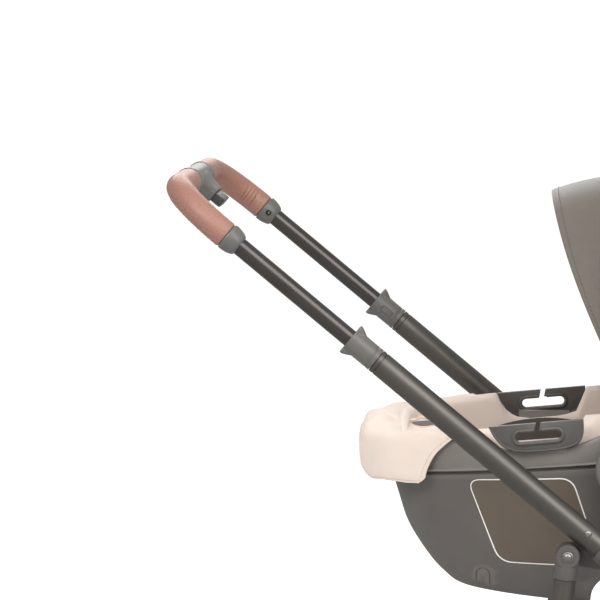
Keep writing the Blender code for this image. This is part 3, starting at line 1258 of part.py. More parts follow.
def build_foot_cover():
    """The padded cover drawn over the foot end of the rim, with its hem hanging outside."""
    rings = []
    grow = RIM_PROUD + 0.0006
    foot, head, half = SHELL_FOOT - grow, SHELL_HEAD + grow, SHELL_HALF_WIDTH + grow
    middle, reach, power = (foot + head) / 2, (head - foot) / 2, 3.2
    count = 22
    for i in range(count + 1):
        turn = radians(-58.0 + 116.0 * i / count)
        c, s = -cos(turn), sin(turn)
        x = middle + reach * -abs(c) ** (2 / power)
        y = half * abs(s) ** (2 / power) * (1 if s > 0 else -1)
        out = Vector((c * half, s * reach, 0.0)).normalized()
        end = smooth_step(-x, 0.05, 0.30)
        puff = 0.0065 + (COVER_PUFF - 0.0065) * smooth_step(abs(turn), radians(52.0), radians(6.0))
        top = liner_top(x) + 0.0052 + 0.001 * end
        low = COVER_HEM + (top - 0.030 - COVER_HEM) * smooth_step(x, -0.285, -0.200)
        loop = (
            (puff * 0.80, low), (puff, low + 0.30 * (top - low)), (puff * 0.93, low + 0.62 * (top - low)),
            (puff * 0.62, low + 0.88 * (top - low)), (puff * 0.15 - 0.002, top), (-0.024, top - 0.001),
            (-0.024, top - 0.0045), (puff * 0.15 - 0.003, top - 0.0040),
            (max(puff * 0.62 - 0.004, 0.0008), low + 0.88 * (top - low) - 0.003),
            (max(puff * 0.93 - 0.005, 0.0010), low + 0.62 * (top - low)),
            (max(puff - 0.005, 0.0012), low + 0.30 * (top - low)), (max(puff * 0.80 - 0.005, 0.0010), low),
        )
        base = Vector((x, y, 0.0))
        rings.append([base + out * away + Vector((0.0, 0.0, z)) for away, z in loop])
    add_piece("foot_cover", rings_shape(rings), "carrier",
              material("beige_quilted_fabric", (0.78, 0.69, 0.58), 0.9))


def strap_shape(points, half_width, half_thick):
    """A flat strap through points, lying across the stroller."""
    rings = []
    points = [Vector(point) for point in points]
    for i, point in enumerate(points):
        along = (points[min(i + 1, len(points) - 1)] - points[max(i - 1, 0)]).normalized()
        across = Vector((0.0, 1.0, 0.0))
        across = (across - along * across.dot(along)).normalized()
        rings.append(rounded_ring(point, across, along.cross(across), half_width, half_thick,
                                  half_thick * 0.8, 1))
    return rings_shape(rings)


def build_harness(surface):
    """The baby's harness on the liner's surface: shoulder straps, crotch strap and buckle."""
    strap, thick = 0.0125, 0.0017
    webbing = material("grey_webbing", (0.20, 0.19, 0.18), 0.8)

    def on_seat(x, y, above=0.0):
        """A point that clears the liner by the strap's thickness, across the strap's width."""
        highest = max(
            surface.ray_cast(Vector((x + ahead, y + beside, 1.0)), Vector((0.0, 0.0, -1.0)))[0].z
            for ahead in (-0.012, 0.0, 0.012) for beside in (-strap, 0.0, strap))
        return Vector((x, y, highest + thick + 0.0006 + above))

    crotch = strap_shape([on_seat(BUCKLE_X - 0.062, 0.0), on_seat(BUCKLE_X - 0.03, 0.0),
                          on_seat(BUCKLE_X + 0.02, 0.0)], 0.0122, 0.0016)
    harness = add_piece("harness", crotch, "carrier", webbing)
    shoulders = []
    for side in (-1, 1):
        stations = [(BUCKLE_X + 0.004, 0.010), (BUCKLE_X + 0.05, 0.026), (BUCKLE_X + 0.10, 0.040),
                    (BUCKLE_X + 0.15, 0.047), (BUCKLE_X + 0.19, 0.050), (BUCKLE_X + 0.22, 0.050)]
        shoulders.append(strap_shape([on_seat(x, side * y, 0.0002) for x, y in stations], strap, thick))
    join(harness, shoulders, "carrier")

    centre = on_seat(BUCKLE_X, 0.0, 0.0030 + GAP)
    across = Vector((0.0, 1.0, 0.0))
    along = Vector((1.0, 0.0, 0.0))
    low = centre.z
    rings = [
        rounded_ring(Vector((centre.x, 0.0, z)), along, across, half_x, half_y, 0.009)
        for z, half_x, half_y in ((low, 0.026, 0.021), (low + 0.009, 0.027, 0.022), (low + 0.0125, 0.0235, 0.0185))
    ]
    buckle = add_piece("buckle", rings_shape(rings), "carrier", moulding("dark_plastic"))
    top = low + 0.0125
    press = BUCKLE_BUTTON_RADIUS
    cut(buckle, [bore((centre.x, 0, top - BUCKLE_TRAVEL - 0.0040), (centre.x, 0, top + 0.01),
                     press + RUNNING_GAP, ROUND_SIDES)], "carrier")
    button = turned((centre.x, 0.0, top - 0.0033), (0, 0, 1),
                    [(0.0, press), (0.0034, press), (0.0042, press - 0.0012)], ROUND_SIDES)
    add_piece("buckle_button", button, "buckle_button", material("red_plastic", (0.55, 0.05, 0.04), 0.45))


def add_bodies():
    """One empty for each body, on the joint that carries it."""
    root = bpy.data.objects.new("front_frame_root", None)
    bpy.context.scene.collection.objects.link(root)
    root.location = (-CENTRE_X, 0.0, 0.0)
    BODIES["front_frame"] = (root, Vector((0.0, 0.0, 0.0)))
    add_body("push_bar", PIVOT, "front_frame")
    crossbar = on_tube(-CROSSBAR_REACH, 1)
    crossbar.y = 0.0
    add_body("handle", crossbar, "push_bar")
    add_body("trigger", crossbar, "handle")
    add_body("rear_frame", (LEG_PIVOT[0], 0.0, LEG_PIVOT[1]), "front_frame")
    axle = Vector((AXLE_PLACE[0], 0.0, AXLE_PLACE[1]))
    add_body("brake", axle, "rear_frame")
    add_body("carrier", (0.0, 0.0, ADAPTER_TOP), "front_frame")
    hub = Vector((HUB_CENTRE[0], 0.0, HUB_CENTRE[1]))
    add_body("carry_handle", hub, "carrier")
    canopy = Vector((CANOPY_PIVOT[0], 0.0, CANOPY_PIVOT[1]))
    add_body("canopy_mid", canopy, "carrier")
    add_body("canopy_front", canopy, "canopy_mid")
    add_body("buckle_button", (BUCKLE_X, 0.0, seat_height(BUCKLE_X)), "carrier")
    for side, which in ((-1, "right"), (1, "left")):
        add_body(f"sleeve_{which}", on_tube(-SLEEVE_TOP, side), "push_bar")
        add_body(f"handle_button_{which}", (hub.x, side * HUB_OUTER, hub.z), "carry_handle")
        add_body(f"rear_wheel_{which}", axle + Vector((0, side * REAR_WHEEL_PLACE, 0)), "rear_frame")
        add_body(f"caster_{which}", (SWIVEL_X, side * TRACK, KNUCKLE_BOTTOM), "front_frame")
        add_body(f"front_wheel_{which}", (FRONT_WHEEL_X, side * TRACK, FRONT_WHEEL_RADIUS), f"caster_{which}")


def main():
    clear_scene()
    add_bodies()
    build_handle()
    build_sleeves()
    build_outer_tubes()
    build_lower_hubs()
    build_rear_frame()
    build_casters()
    build_middle()
    build_adapters()
    build_shell()
    build_rim()
    build_carry_handle()
    build_canopy()
    surface = build_liner()
    build_foot_cover()
    build_harness(surface)


if __name__ == "__main__":
    main()
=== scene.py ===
"""Metres, +Z up. +X is the front of the stroller, -Y its right-hand side. Side -1 is the right-hand
side and side +1 the left-hand side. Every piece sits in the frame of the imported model.
"""

import json  # noqa: E402
from collections import namedtuple  # noqa: E402
from math import atan2, copysign, cos, exp, hypot, pi, radians, sin  # noqa: E402

import bpy  # noqa: E402
from bpy.props import FloatProperty, FloatVectorProperty, IntProperty, PointerProperty  # noqa: E402
from bpy.types import Operator, Panel, PropertyGroup  # noqa: E402
from mathutils import Matrix, Vector, noise  # noqa: E402

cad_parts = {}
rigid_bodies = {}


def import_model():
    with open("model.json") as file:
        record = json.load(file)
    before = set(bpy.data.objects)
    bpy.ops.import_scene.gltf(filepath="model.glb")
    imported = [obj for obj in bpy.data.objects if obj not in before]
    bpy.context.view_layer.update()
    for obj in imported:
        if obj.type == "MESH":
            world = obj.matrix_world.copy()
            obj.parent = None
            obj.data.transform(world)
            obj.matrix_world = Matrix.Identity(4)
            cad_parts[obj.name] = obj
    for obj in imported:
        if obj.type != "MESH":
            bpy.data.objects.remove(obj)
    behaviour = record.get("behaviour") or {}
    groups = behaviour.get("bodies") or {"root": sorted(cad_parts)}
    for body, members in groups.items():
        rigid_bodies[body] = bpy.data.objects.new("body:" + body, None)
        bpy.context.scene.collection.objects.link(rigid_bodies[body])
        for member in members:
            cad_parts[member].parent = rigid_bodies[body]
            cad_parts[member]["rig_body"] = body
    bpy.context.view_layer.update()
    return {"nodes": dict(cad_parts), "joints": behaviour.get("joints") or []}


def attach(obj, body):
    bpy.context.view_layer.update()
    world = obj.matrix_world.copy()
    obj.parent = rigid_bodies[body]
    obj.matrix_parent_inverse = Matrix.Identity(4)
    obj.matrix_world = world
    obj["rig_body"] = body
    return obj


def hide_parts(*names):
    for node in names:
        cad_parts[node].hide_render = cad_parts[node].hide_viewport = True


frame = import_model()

bl_info = {
    "name": "Travel System Stroller",
    "version": (1, 0, 0),
    "blender": (4, 5, 0),
    "location": "View3D > Sidebar > Stroller",
    "description": "Dresses the packed frame of a travel system stroller, piece by piece",
    "category": "Add Mesh",
}

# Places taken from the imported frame
JOINTS = {joint["name"]: joint for joint in frame["joints"]}
PIVOT = Vector(JOINTS["handle_fold"]["pos_m"])
UP_TUBE = Vector(JOINTS["handle_telescope"]["axis"]).normalized()
DOWN_TUBE = -UP_TUBE
ABOVE_TUBE = Vector((-DOWN_TUBE.z, 0.0, DOWN_TUBE.x))
LEG_PIVOT = Vector(JOINTS["rear_leg_fold"]["pos_m"])
REAR_AXLE = Vector(JOINTS["brake_press"]["pos_m"])
HUB_CENTRE = Vector(JOINTS["carry_handle_turn"]["pos_m"])
CANOPY_PIVOT = Vector(JOINTS["canopy_fold"]["pos_m"])
FRONT_AXLE = Vector(JOINTS["front_wheel_spin_left"]["pos_m"])
SWIVEL = Vector(JOINTS["caster_swivel_left"]["pos_m"])
X_AXIS, Y_AXIS, Z_AXIS = Vector((1, 0, 0)), Vector((0, 1, 0)), Vector((0, 0, 1))
SIDES = ((-1, "right"), (1, "left"))

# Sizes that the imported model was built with
HINGE_OFFSET = 0.022        # fold pivot above the tube line
TRACK = 0.24               # centre plane of each side frame
HINGE_FOOT = PIVOT - ABOVE_TUBE * HINGE_OFFSET
SHELL_FOOT = PIVOT.x - 0.318
SHELL_HEAD = PIVOT.x + 0.306
SHELL_HALF_WIDTH = 0.164
SHELL_BOTTOM = 0.503
GAP = 0.0003


def linear(hex_colour):
    """An sRGB hex colour as linear values."""
    parts = [int(hex_colour[i:i + 2], 16) / 255 for i in (1, 3, 5)]
    return tuple(c / 12.92 if c <= 0.04045 else ((c + 0.055) / 1.055) ** 2.4 for c in parts)


def colour_property(name, description, hex_colour):
    return FloatVectorProperty(name=name, description=description, subtype="COLOR", size=3,
                               min=0.0, max=1.0, default=linear(hex_colour))


def size_property(name, description, default):
    return FloatProperty(name=name, description=description, default=default, unit="LENGTH", min=0.0)


class StrollerColours(PropertyGroup):
    """Colours of the stroller's finishes."""

    gloss_tube: colour_property("Gloss tube", "Sliding tube of the push handle", "#534F4D")
    satin_tube: colour_property("Satin tube", "Outer tubes and legs", "#625E5A")
    leather: colour_property("Grip", "Leatherette of the push handle's grips", "#9A6F60")
    grey_plastic: colour_property("Grey plastic", "Caps, sleeves, belt guides and carry handle", "#5D5B58")
    black_plastic: colour_property("Dark plastic", "Fold hubs, leg caps, brackets and casters", "#4D4946")
    smooth_plastic: colour_property("Buttons", "Trigger, buttons and buckle", "#3B3938")
    shell: colour_property("Shell", "Textured shell of the infant carrier", "#5B5652")
    rim: colour_property("Rim", "Rim round the shell", "#736E69")
    label: colour_property("Panel", "Bare panel on the shell's right side", "#5D5348")
    keyline: colour_property("Keyline", "Line round the bare panel", "#E9E5DF")
    beige: colour_property("Lining", "Cotton lining and foot cover", "#DCCDC1")
    thread: colour_property("Thread", "Topstitching on the lining", "#D3C0AF")
    canopy: colour_property("Canopy", "Woven polyester of the canopy", "#625B54")
    binding: colour_property("Binding", "Bound edges of the canopy", "#4F4944")
    webbing: colour_property("Webbing", "Harness and carry loop", "#6B6866")
    basket: colour_property("Basket", "Woven polyester of the storage basket", "#37353A")
    wheel: colour_property("Wheel", "Moulded rims of the wheels", "#55524F")
    tyre: colour_property("Tyre", "Foam rubber of the tyres", "#2B2A2A")
    chrome: colour_property("Chrome", "Rivets, screws and pins", "#96948F")
    release: colour_property("Release", "Button of the harness buckle", "#B8261E")


class StrollerSizes(PropertyGroup):
    """Sizes of the stroller's visible detail."""

    tube_sides: IntProperty(name="Tube sides", description="Sides of each round piece",
                            default=48, min=16, max=96)
    stitch_length: size_property("Stitch", "Length of one topstitch", 0.004)
    stitch_gap: size_property("Stitch gap", "Gap between two topstitches", 0.0017)
    hem: size_property("Hem", "Topstitching's distance from a hem", 0.007)
    keyline: size_property("Keyline", "Width of the line round the bare panel", 0.0016)


def sizes():
    return bpy.context.scene.stroller_sizes


def colours():
    return bpy.context.scene.stroller_colours


# Finishes

def add_node(tree, kind, values=None, links=None, **attributes):
    """A shader node with its attributes, its input values, and its links as {input: (node, output)}."""
    made = tree.nodes.new("ShaderNode" + kind)
    for name, value in attributes.items():
        setattr(made, name, value)
    for name, value in (values or {}).items():
        made.inputs[name].default_value = value
    for name, (source, output) in (links or {}).items():
        tree.links.new(source.outputs[output], made.inputs[name])
    return made


def per_metre(millimetres):
    """Scale of a noise or cell pattern whose features are that large."""
    return 1000.0 / millimetres


def bands_per_metre(millimetres):
    """Scale of a wave texture whose bands are that far apart."""
    return 2 * pi / (20.0 * millimetres / 1000.0)


def noise_texture(look, size_mm, detail, **more):
    """Cloudy noise whose features are that large."""
    return add_node(look.tree, "TexNoise", {"Scale": per_metre(size_mm), "Detail": detail, **more},
                    {"Vector": (look.place, "Object")})


def math_node(tree, operation, links, values=None):
    return add_node(tree, "Math", values, links, operation=operation)


def shaded(colour, factor):
    return [min(c * factor, 1.0) for c in colour]


def colour_between(look, source, output, low, high, low_colour, high_colour):
    """Base colour that runs from one colour to another as a value goes from low to high."""
    ramp = add_node(look.tree, "ValToRGB", links={"Fac": (source, output)})
    for element, place, colour in zip(ramp.color_ramp.elements, (low, high), (low_colour, high_colour)):
        element.position, element.color = place, (*colour, 1.0)
    look.tree.links.new(ramp.outputs["Color"], look.shader.inputs["Base Color"])
    return ramp


Look = namedtuple("Look", "material tree shader place")


def start_look(name, roughness, metallic=0.0, **values):
    """A new finish: its material, node tree, shader and texture coordinates."""
    material = bpy.data.materials.new(name)
    material.use_nodes = True
    tree = material.node_tree
    shader = tree.nodes["Principled BSDF"]
    shader.inputs["Roughness"].default_value = roughness
    shader.inputs["Metallic"].default_value = metallic
    for socket, value in values.items():
        shader.inputs[socket.replace("_", " ")].default_value = value
    return Look(material, tree, shader, add_node(tree, "TexCoord"))


def vary_colour(look, colour, spread, size_mm):
    """Base colour that drifts a little lighter and darker over patches of that size."""
    patches = noise_texture(look, size_mm, 3.0)
    return colour_between(look, patches, "Fac", 0.35, 0.65, shaded(colour, 1 - spread),
                          shaded(colour, 1 + spread))


def vary_gloss(look, roughness, spread, size_mm):
    """Roughness that drifts by the spread, as handling and moulding leave it."""
    patches = noise_texture(look, size_mm, 4.0)
    level = add_node(look.tree, "MapRange",
                     {"To Min": roughness - spread, "To Max": roughness + spread},
                     {"Value": (patches, "Fac")})
    look.tree.links.new(level.outputs["Result"], look.shader.inputs["Roughness"])


def raise_surface(look, height, output, strength, depth_mm):
    bump = add_node(look.tree, "Bump", {"Strength": strength, "Distance": depth_mm / 1000.0},
                    {"Height": (height, output)})
    look.tree.links.new(bump.outputs["Normal"], look.shader.inputs["Normal"])


def worn_edges(look, colour_source, lighter, amount):
    """Edges rubbed a little lighter, from the mesh's own convexity."""
    shape = add_node(look.tree, "NewGeometry")
    edge = add_node(look.tree, "MapRange", {"From Min": 0.53, "From Max": 0.62, "To Max": amount},
                    {"Value": (shape, "Pointiness")})
    blended = add_node(look.tree, "MixRGB", {"Color2": (*lighter, 1.0)},
                       {"Fac": (edge, "Result"), "Color1": (colour_source, "Color")})
    look.tree.links.new(blended.outputs["Color"], look.shader.inputs["Base Color"])


def drawn_aluminium(name, colour, roughness, depth_mm):
    """Drawn tube, anodised dark: long soft highlights, with faint draw lines along the tube."""
    look = start_look(name, roughness, 0.82)
    vary_colour(look, colour, 0.05, 60.0)
    vary_gloss(look, roughness, 0.05, 25.0)
    raise_surface(look, noise_texture(look, 0.9, 2.0), "Fac", 0.12, depth_mm)
    return look.material


def moulded_plastic(name, colour, roughness, grain_mm, depth_mm, patch_mm=45.0):
    """Injection-moulded ABS or polypropylene: even colour, fine spark-eroded grain, rubbed edges."""
    look = start_look(name, roughness)
    ramp = vary_colour(look, colour, 0.06, patch_mm)
    worn_edges(look, ramp, tuple(min(c * 1.9 + 0.01, 1.0) for c in colour), 0.3)
    vary_gloss(look, roughness, 0.06, 18.0)
    grain = noise_texture(look, grain_mm, 5.0, Roughness=0.6)
    raise_surface(look, grain, "Fac", 0.6, depth_mm)
    return look.material


def embossed_leatherette(name, colour):
    """Polyurethane leatherette: pebbles about 1 mm across, painted shade in the creases between them, a low
    sheen.
    """
    look = start_look(name, 0.46)
    pebbles = add_node(look.tree, "TexVoronoi", {"Scale": per_metre(1.3), "Smoothness": 0.35},
                       {"Vector": (look.place, "Object")}, feature="SMOOTH_F1")
    folds = noise_texture(look, 7.0, 6.0)
    height = math_node(look.tree, "MULTIPLY", {0: (folds, "Fac")}, {1: 0.35})
    whole = math_node(look.tree, "SUBTRACT", {0: (height, "Value"), 1: (pebbles, "Distance")})
    # Painted shade: the base colour darkens towards the creases between the pebbles
    colour_between(look, pebbles, "Distance", 0.25, 0.8, colour, shaded(colour, 0.72))
    vary_gloss(look, 0.46, 0.07, 14.0)
    raise_surface(look, whole, "Value", 0.55, 0.35)
    return look.material


def woven_cloth(name, colour, thread_mm, spread, sheen, slub_mm=9.0, roughness=0.9):
    """Plain-woven cloth, its threads drawn coarse enough to show; matt, with a soft sheen."""
    look = start_look(name, roughness, Sheen_Weight=sheen, Sheen_Roughness=0.5, Specular_IOR_Level=0.25)
    threads = [
        add_node(look.tree, "TexWave",
                 {"Scale": bands_per_metre(thread_mm), "Distortion": 0.6, "Detail": 1.0, "Detail Scale": 1.5},
                 {"Vector": (look.place, "UV")}, bands_direction=way) for way in ("X", "Y")]
    weave = math_node(look.tree, "MULTIPLY", {0: (threads[0], "Fac"), 1: (threads[1], "Fac")})
    slubs = noise_texture(look, slub_mm, 5.0)
    mixed = math_node(look.tree, "MULTIPLY_ADD", {0: (slubs, "Fac"), 2: (weave, "Value")}, {1: 0.6})
    colour_between(look, mixed, "Value", 0.15, 0.95, shaded(colour, 1 - spread),
                   shaded(colour, 1 + spread * 0.4))
    raise_surface(look, weave, "Value", 0.35, 0.25)
    return look.material


def polished_steel(name, colour):
    """Nickel-plated steel: bright, with hairline turning marks that soften the reflection."""
    look = start_look(name, 0.36, 1.0)
    vary_colour(look, colour, 0.04, 5.0)
    vary_gloss(look, 0.36, 0.08, 2.0)
    return look.material


def foam_rubber(name, colour):
    """Moulded foam tyre: dead matt, dusty in patches, with fine pores."""
    look = start_look(name, 0.88, Specular_IOR_Level=0.3)
    ramp = vary_colour(look, colour, 0.22, 22.0)
    worn_edges(look, ramp, tuple(c * 2.2 + 0.01 for c in colour), 0.35)
    raise_surface(look, noise_texture(look, 0.8, 3.0), "Fac", 0.5, 0.25)
    return look.material


def printed_film(name, colour, roughness=0.42):
    """Printed vinyl film: flat and smooth, a little glossier than the shell under it."""
    look = start_look(name, roughness)
    vary_colour(look, colour, 0.04, 30.0)
    vary_gloss(look, roughness, 0.04, 12.0)
    return look.material


# {finish: (slot of the record that it stands for, recipe, material, values of the recipe)}
FINISHES = {
    "gloss_tube": ("gloss_tube", drawn_aluminium, "gloss_anodised_aluminium", 0.27, 0.01),
    "satin_tube": ("satin_tube", drawn_aluminium, "satin_anodised_aluminium", 0.43, 0.03),
    "leather": ("leatherette", embossed_leatherette, "brown_leatherette"),
    "grey_plastic": ("grey_plastic", moulded_plastic, "satin_grey_abs", 0.4, 0.8, 0.04),
    "black_plastic": ("black_plastic", moulded_plastic, "dark_glass_filled_nylon", 0.46, 0.9, 0.06),
    "smooth_plastic": ("dark_plastic", moulded_plastic, "smooth_dark_abs", 0.32, 0.6, 0.02),
    "shell": ("shell_plastic", moulded_plastic, "textured_polypropylene", 0.52, 1.1, 0.16, 70.0),
    "rim": ("rim_plastic", moulded_plastic, "satin_rim_polypropylene", 0.42, 1.0, 0.07),
    "label": ("shell_plastic", printed_film, "brown_printed_film"),
    "keyline": ("shell_plastic", printed_film, "white_printed_line", 0.5),
    "beige": ("beige_fabric", woven_cloth, "beige_cotton_lining", 1.1, 0.06, 0.25),
    "beige_quilt": ("beige_fabric", woven_cloth, "beige_cotton_padding", 1.1, 0.06, 0.25),
    "thread": (None, woven_cloth, "polyester_thread", 0.8, 0.15, 0.2),
    "canopy": ("canopy_fabric", woven_cloth, "taupe_woven_polyester", 1.0, 0.16, 0.3, 9.0, 0.55),
    "binding": ("basket_fabric", woven_cloth, "folded_binding_tape", 0.9, 0.18, 0.2),
    "webbing": ("webbing", woven_cloth, "grey_webbing", 1.6, 0.3, 0.2, 5.0),
    "basket": ("basket_fabric", woven_cloth, "black_woven_polyester", 1.4, 0.3, 0.15),
    "wheel": ("wheel_plastic", moulded_plastic, "grey_wheel_nylon", 0.42, 0.9, 0.06),
    "tyre": ("tyre", foam_rubber, "foam_rubber_tyre"),
    "chrome": ("steel", polished_steel, "nickel_plated_steel"),
    "release": ("red_plastic", moulded_plastic, "red_release_plastic", 0.35, 0.8, 0.03),
}
MADE = {}


def finish(name):
    """The material of that name, made once."""
    if name not in MADE:
        _, recipe, material, *values = FINISHES[name]
        MADE[name] = recipe(material, getattr(colours(), name.removesuffix("_quilt")), *values)
    return MADE[name]


# Modelling

def deselect():
    for obj in bpy.context.selected_objects:
        obj.select_set(False)


def select(obj):
    """Makes one object the only selected one and the active one."""
    deselect()
    obj.select_set(True)
    bpy.context.view_layer.objects.active = obj


def added(name):
    """The object that the last operator added, under its name."""
    obj = bpy.context.object
    obj.name = obj.data.name = name
    return obj


def edit(obj):
    """Opens one object in edit mode with everything in it selected."""
    select(obj)
    bpy.ops.object.mode_set(mode="EDIT")
    bpy.ops.mesh.select_all(action="SELECT")


def extrude_up(rise):
    bpy.ops.mesh.extrude_region_move(TRANSFORM_OT_translate={"value": (0, 0, rise)})


def close_edit(merge=0.0, outward=True):
    if merge:
        bpy.ops.mesh.remove_doubles(threshold=merge)
    if outward:
        bpy.ops.mesh.normals_make_consistent(inside=False)
    bpy.ops.object.mode_set(mode="OBJECT")


def apply_place(obj):
    """Puts the object's place in its mesh."""
    select(obj)
    bpy.ops.object.transform_apply(location=True, rotation=True, scale=True)


def smooth(obj, degrees=38.0):
    select(obj)
    bpy.ops.object.shade_smooth_by_angle(angle=radians(degrees))


def add_modifier(obj, kind, **settings):
    """Adds a modifier and applies it."""
    modifier = obj.modifiers.new(kind.title(), kind)
    for name, value in settings.items():
        setattr(modifier, name, value)
    select(obj)
    bpy.ops.object.modifier_apply(modifier=modifier.name)


def round_edges(obj, width, segments=2, angle=30.0):
    add_modifier(obj, "BEVEL", width=width, segments=segments, limit_method="ANGLE",
                 angle_limit=radians(angle), harden_normals=False, use_clamp_overlap=True)


def dress(obj, finish_name, body, nodes=(), angle=38.0, slot="of the finish"):
    """Finishes a piece: material, shading, the body that carries it and the nodes it stands for. Its slot is
    worked out but not kept.
    """
    slot = FINISHES[finish_name][0] if slot == "of the finish" else slot
    obj.data.materials.clear()
    obj.data.materials.append(finish(finish_name))
    smooth(obj, angle)
    if nodes:
        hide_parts(*nodes)
    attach(obj, body)
    return obj


def placed_matrix(start, direction):
    """Turns a piece modelled up +Z so that it starts there and points that way."""
    return Matrix.Translation(start) @ Z_AXIS.rotation_difference(Vector(direction)).to_matrix().to_4x4()


def turned(name, start, direction, profile, sides=None, ring=False):
    """A turned piece: a circle extruded and resized along the profile's (distance, radius) points.
    A ring's profile goes round its section and closes on itself."""
    sides = sides or sizes().tube_sides
    deselect()
    place, radius = profile[0]
    bpy.ops.mesh.primitive_circle_add(vertices=sides, radius=radius, location=(0, 0, 0),
                                      fill_type="NOTHING" if ring else "NGON")
    obj = added(name)
    edit(obj)
    bpy.ops.transform.translate(value=(0, 0, place))
    for distance, reach in profile[1:] + (profile[:1] if ring else []):
        extrude_up(distance - place)
        bpy.ops.transform.resize(value=(reach / radius, reach / radius, 1),
                                 center_override=(0, 0, distance))
        place, radius = distance, reach
    bpy.ops.mesh.select_all(action="SELECT")
    close_edit(merge=1e-6 if ring else 0.0)
    obj.matrix_world = placed_matrix(start, direction)
    apply_place(obj)
    return obj


def formed(name, columns, rows, surface, size=(1.0, 1.0), merge=1e-6):
    """A grid formed over surface(u, v), u and v from 0 to 1; its UV map is in metres of that size.
    Where the surface closes on itself, the seam is merged."""
    deselect()
    bpy.ops.mesh.primitive_grid_add(x_subdivisions=columns, y_subdivisions=rows, size=1.0,
                                    location=(0, 0, 0), calc_uvs=True)
    obj = added(name)
    for vert in obj.data.vertices:
        vert.co = surface(vert.co.x + 0.5, vert.co.y + 0.5)
    for corner in obj.data.uv_layers.active.data:
        corner.uv = (corner.uv.x * size[0], corner.uv.y * size[1])
    if merge:
        edit(obj)
        bpy.ops.mesh.remove_doubles(threshold=merge)
        bpy.ops.mesh.dissolve_degenerate(threshold=1e-7)
        close_edit(outward=False)
    return obj


def outward(obj):
    edit(obj)
    close_edit()
    return obj


def thickened(obj, thickness):
    """A formed sheet given its thickness, half of it to each side."""
    add_modifier(obj, "SOLIDIFY", thickness=thickness, offset=0.0)
    return outward(obj)


def copied(name, obj):
    copy = bpy.data.objects.new(name, obj.data.copy())
    bpy.context.scene.collection.objects.link(copy)
    return copy


def joined(name, *objects):
    """One piece of several that belong to one moulding or cloth."""
    deselect()
    for obj in objects:
        obj.select_set(True)
    bpy.context.view_layer.objects.active = objects[0]
    if len(objects) > 1:
        bpy.ops.object.join()
    return added(name)


def cut(obj, *tools):
    """Cuts the tools from a piece and removes them."""
    for tool in tools:
        add_modifier(obj, "BOOLEAN", operation="DIFFERENCE", solver="EXACT", object=tool)
        bpy.data.objects.remove(tool, do_unlink=True)
    return obj


def arc(centre, radius, start, end, steps):
    """Points (x, z) of an arc, from one angle to another."""
    angles = [mix(start, end, i / steps) for i in range(steps + 1)]
    return [(centre[0] + radius * cos(angle), centre[1] + radius * sin(angle)) for angle in angles]


def link_outline(first, first_radius, second, second_radius, steps=16):
    """Outline (x, z) of a flat link: two round ends joined by straight sides."""
    dx, dz = second[0] - first[0], second[1] - first[1]
    heading = atan2(dz, dx)
    lean = pi / 2 - atan2(first_radius - second_radius, hypot(dx, dz))
    return (arc(second, second_radius, heading - lean, heading + lean, steps)
            + arc(first, first_radius, heading + lean, heading - lean + 2 * pi, steps))


def rounded_outline(corners, radii, steps=8):
    """A closed outline with each corner rounded by its own radius."""
    points = []
    count = len(corners)
    for i, corner in enumerate(corners):
        here = Vector(corner)
        before = (Vector(corners[i - 1]) - here).normalized()
        after = (Vector(corners[(i + 1) % count]) - here).normalized()
        half = before.angle(after) / 2
        reach = radii[i] / max(sin(half) / cos(half), 1e-4)
        start, end = here + before * reach, here + after * reach
        for step in range(steps + 1):
            t = step / steps
            points.append(tuple(start * (1 - t) ** 2 + here * (2 * t * (1 - t)) + end * t ** 2))
    return points


def evenly(outline, spacing):
    """The same closed outline with its long sides divided."""
    points = []
    for a, b in zip(outline, outline[1:] + outline[:1]):
        steps = max(int(hypot(b[0] - a[0], b[1] - a[1]) / spacing), 1)
        points += [(mix(a[0], b[0], i / steps), mix(a[1], b[1], i / steps)) for i in range(steps)]
    return points


def between(stations, share):
    """The values at a share of the way through stations, straight from each one to the next."""
    where = share * (len(stations) - 1)
    i = min(int(where), len(stations) - 2)
    return [mix(a, b, where - i) for a, b in zip(stations[i], stations[i + 1])]


def around(u):
    """(cosine, sine) of that share of a full turn."""
    return cos(2 * pi * u), sin(2 * pi * u)


def smooth_step(value, low, high):
    part = min(max((value - low) / (high - low), 0.0), 1.0)
    return part * part * (3.0 - 2.0 * part)


def mix(a, b, t):
    return a + (b - a) * t


def squared(part, power):
    """A sine or cosine raised to a power with its sign kept: below 1 it squares a circle off."""
    return copysign(abs(part) ** power, part)


def oblong(left, right, low, high):
    return [(left, low), (right, low), (right, high), (left, high)]


def mirrored(profile, length):
    """A turned profile whose far end repeats its near end; a station at the middle stays single."""
    far = [(length - along, reach) for along, reach in reversed(profile)]
    return profile + (far[1:] if far[0] == profile[-1] else far)


def on_tube(distance, side, above=0.0, inward=0.0):
    """A point on a side tube's line: distance down the tube from the hinge."""
    point = HINGE_FOOT + DOWN_TUBE * distance + ABOVE_TUBE * above
    point.y = side * (TRACK - inward)
    return point


def dressed_node(node, finish_name, bevel):
    """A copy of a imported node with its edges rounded, standing for that node."""
    source = frame["nodes"][node]
    obj = copied(f"{node}_finished", source)
    edit(obj)
    bpy.ops.mesh.remove_doubles(threshold=2e-6)
    bpy.ops.mesh.tris_convert_to_quads(face_threshold=radians(1), shape_threshold=radians(40))
    bpy.ops.mesh.dissolve_limited(angle_limit=radians(1.0))
    close_edit(outward=False)
    round_edges(obj, bevel, 2, 32.0)
    dress(obj, finish_name, source["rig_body"], [node], 34.0)


def strip_along(name, points, width, up, thickness=0.0016):
    """A flat strip of webbing through points, with its flat side turned to `up`."""
    length = sum((b - a).length for a, b in zip(points, points[1:]))

    def surface(u, v):
        i = min(int(v * (len(points) - 1)), len(points) - 2)
        along = (points[min(i + 2, len(points) - 1)] - points[max(i - 1, 0)]).normalized()
        return Vector(between(points, v)) + along.cross(Vector(up)).normalized() * ((u - 0.5) * width)
    return thickened(formed(name, 6, 6 * (len(points) - 1), surface, (width, length), 0.0), thickness)


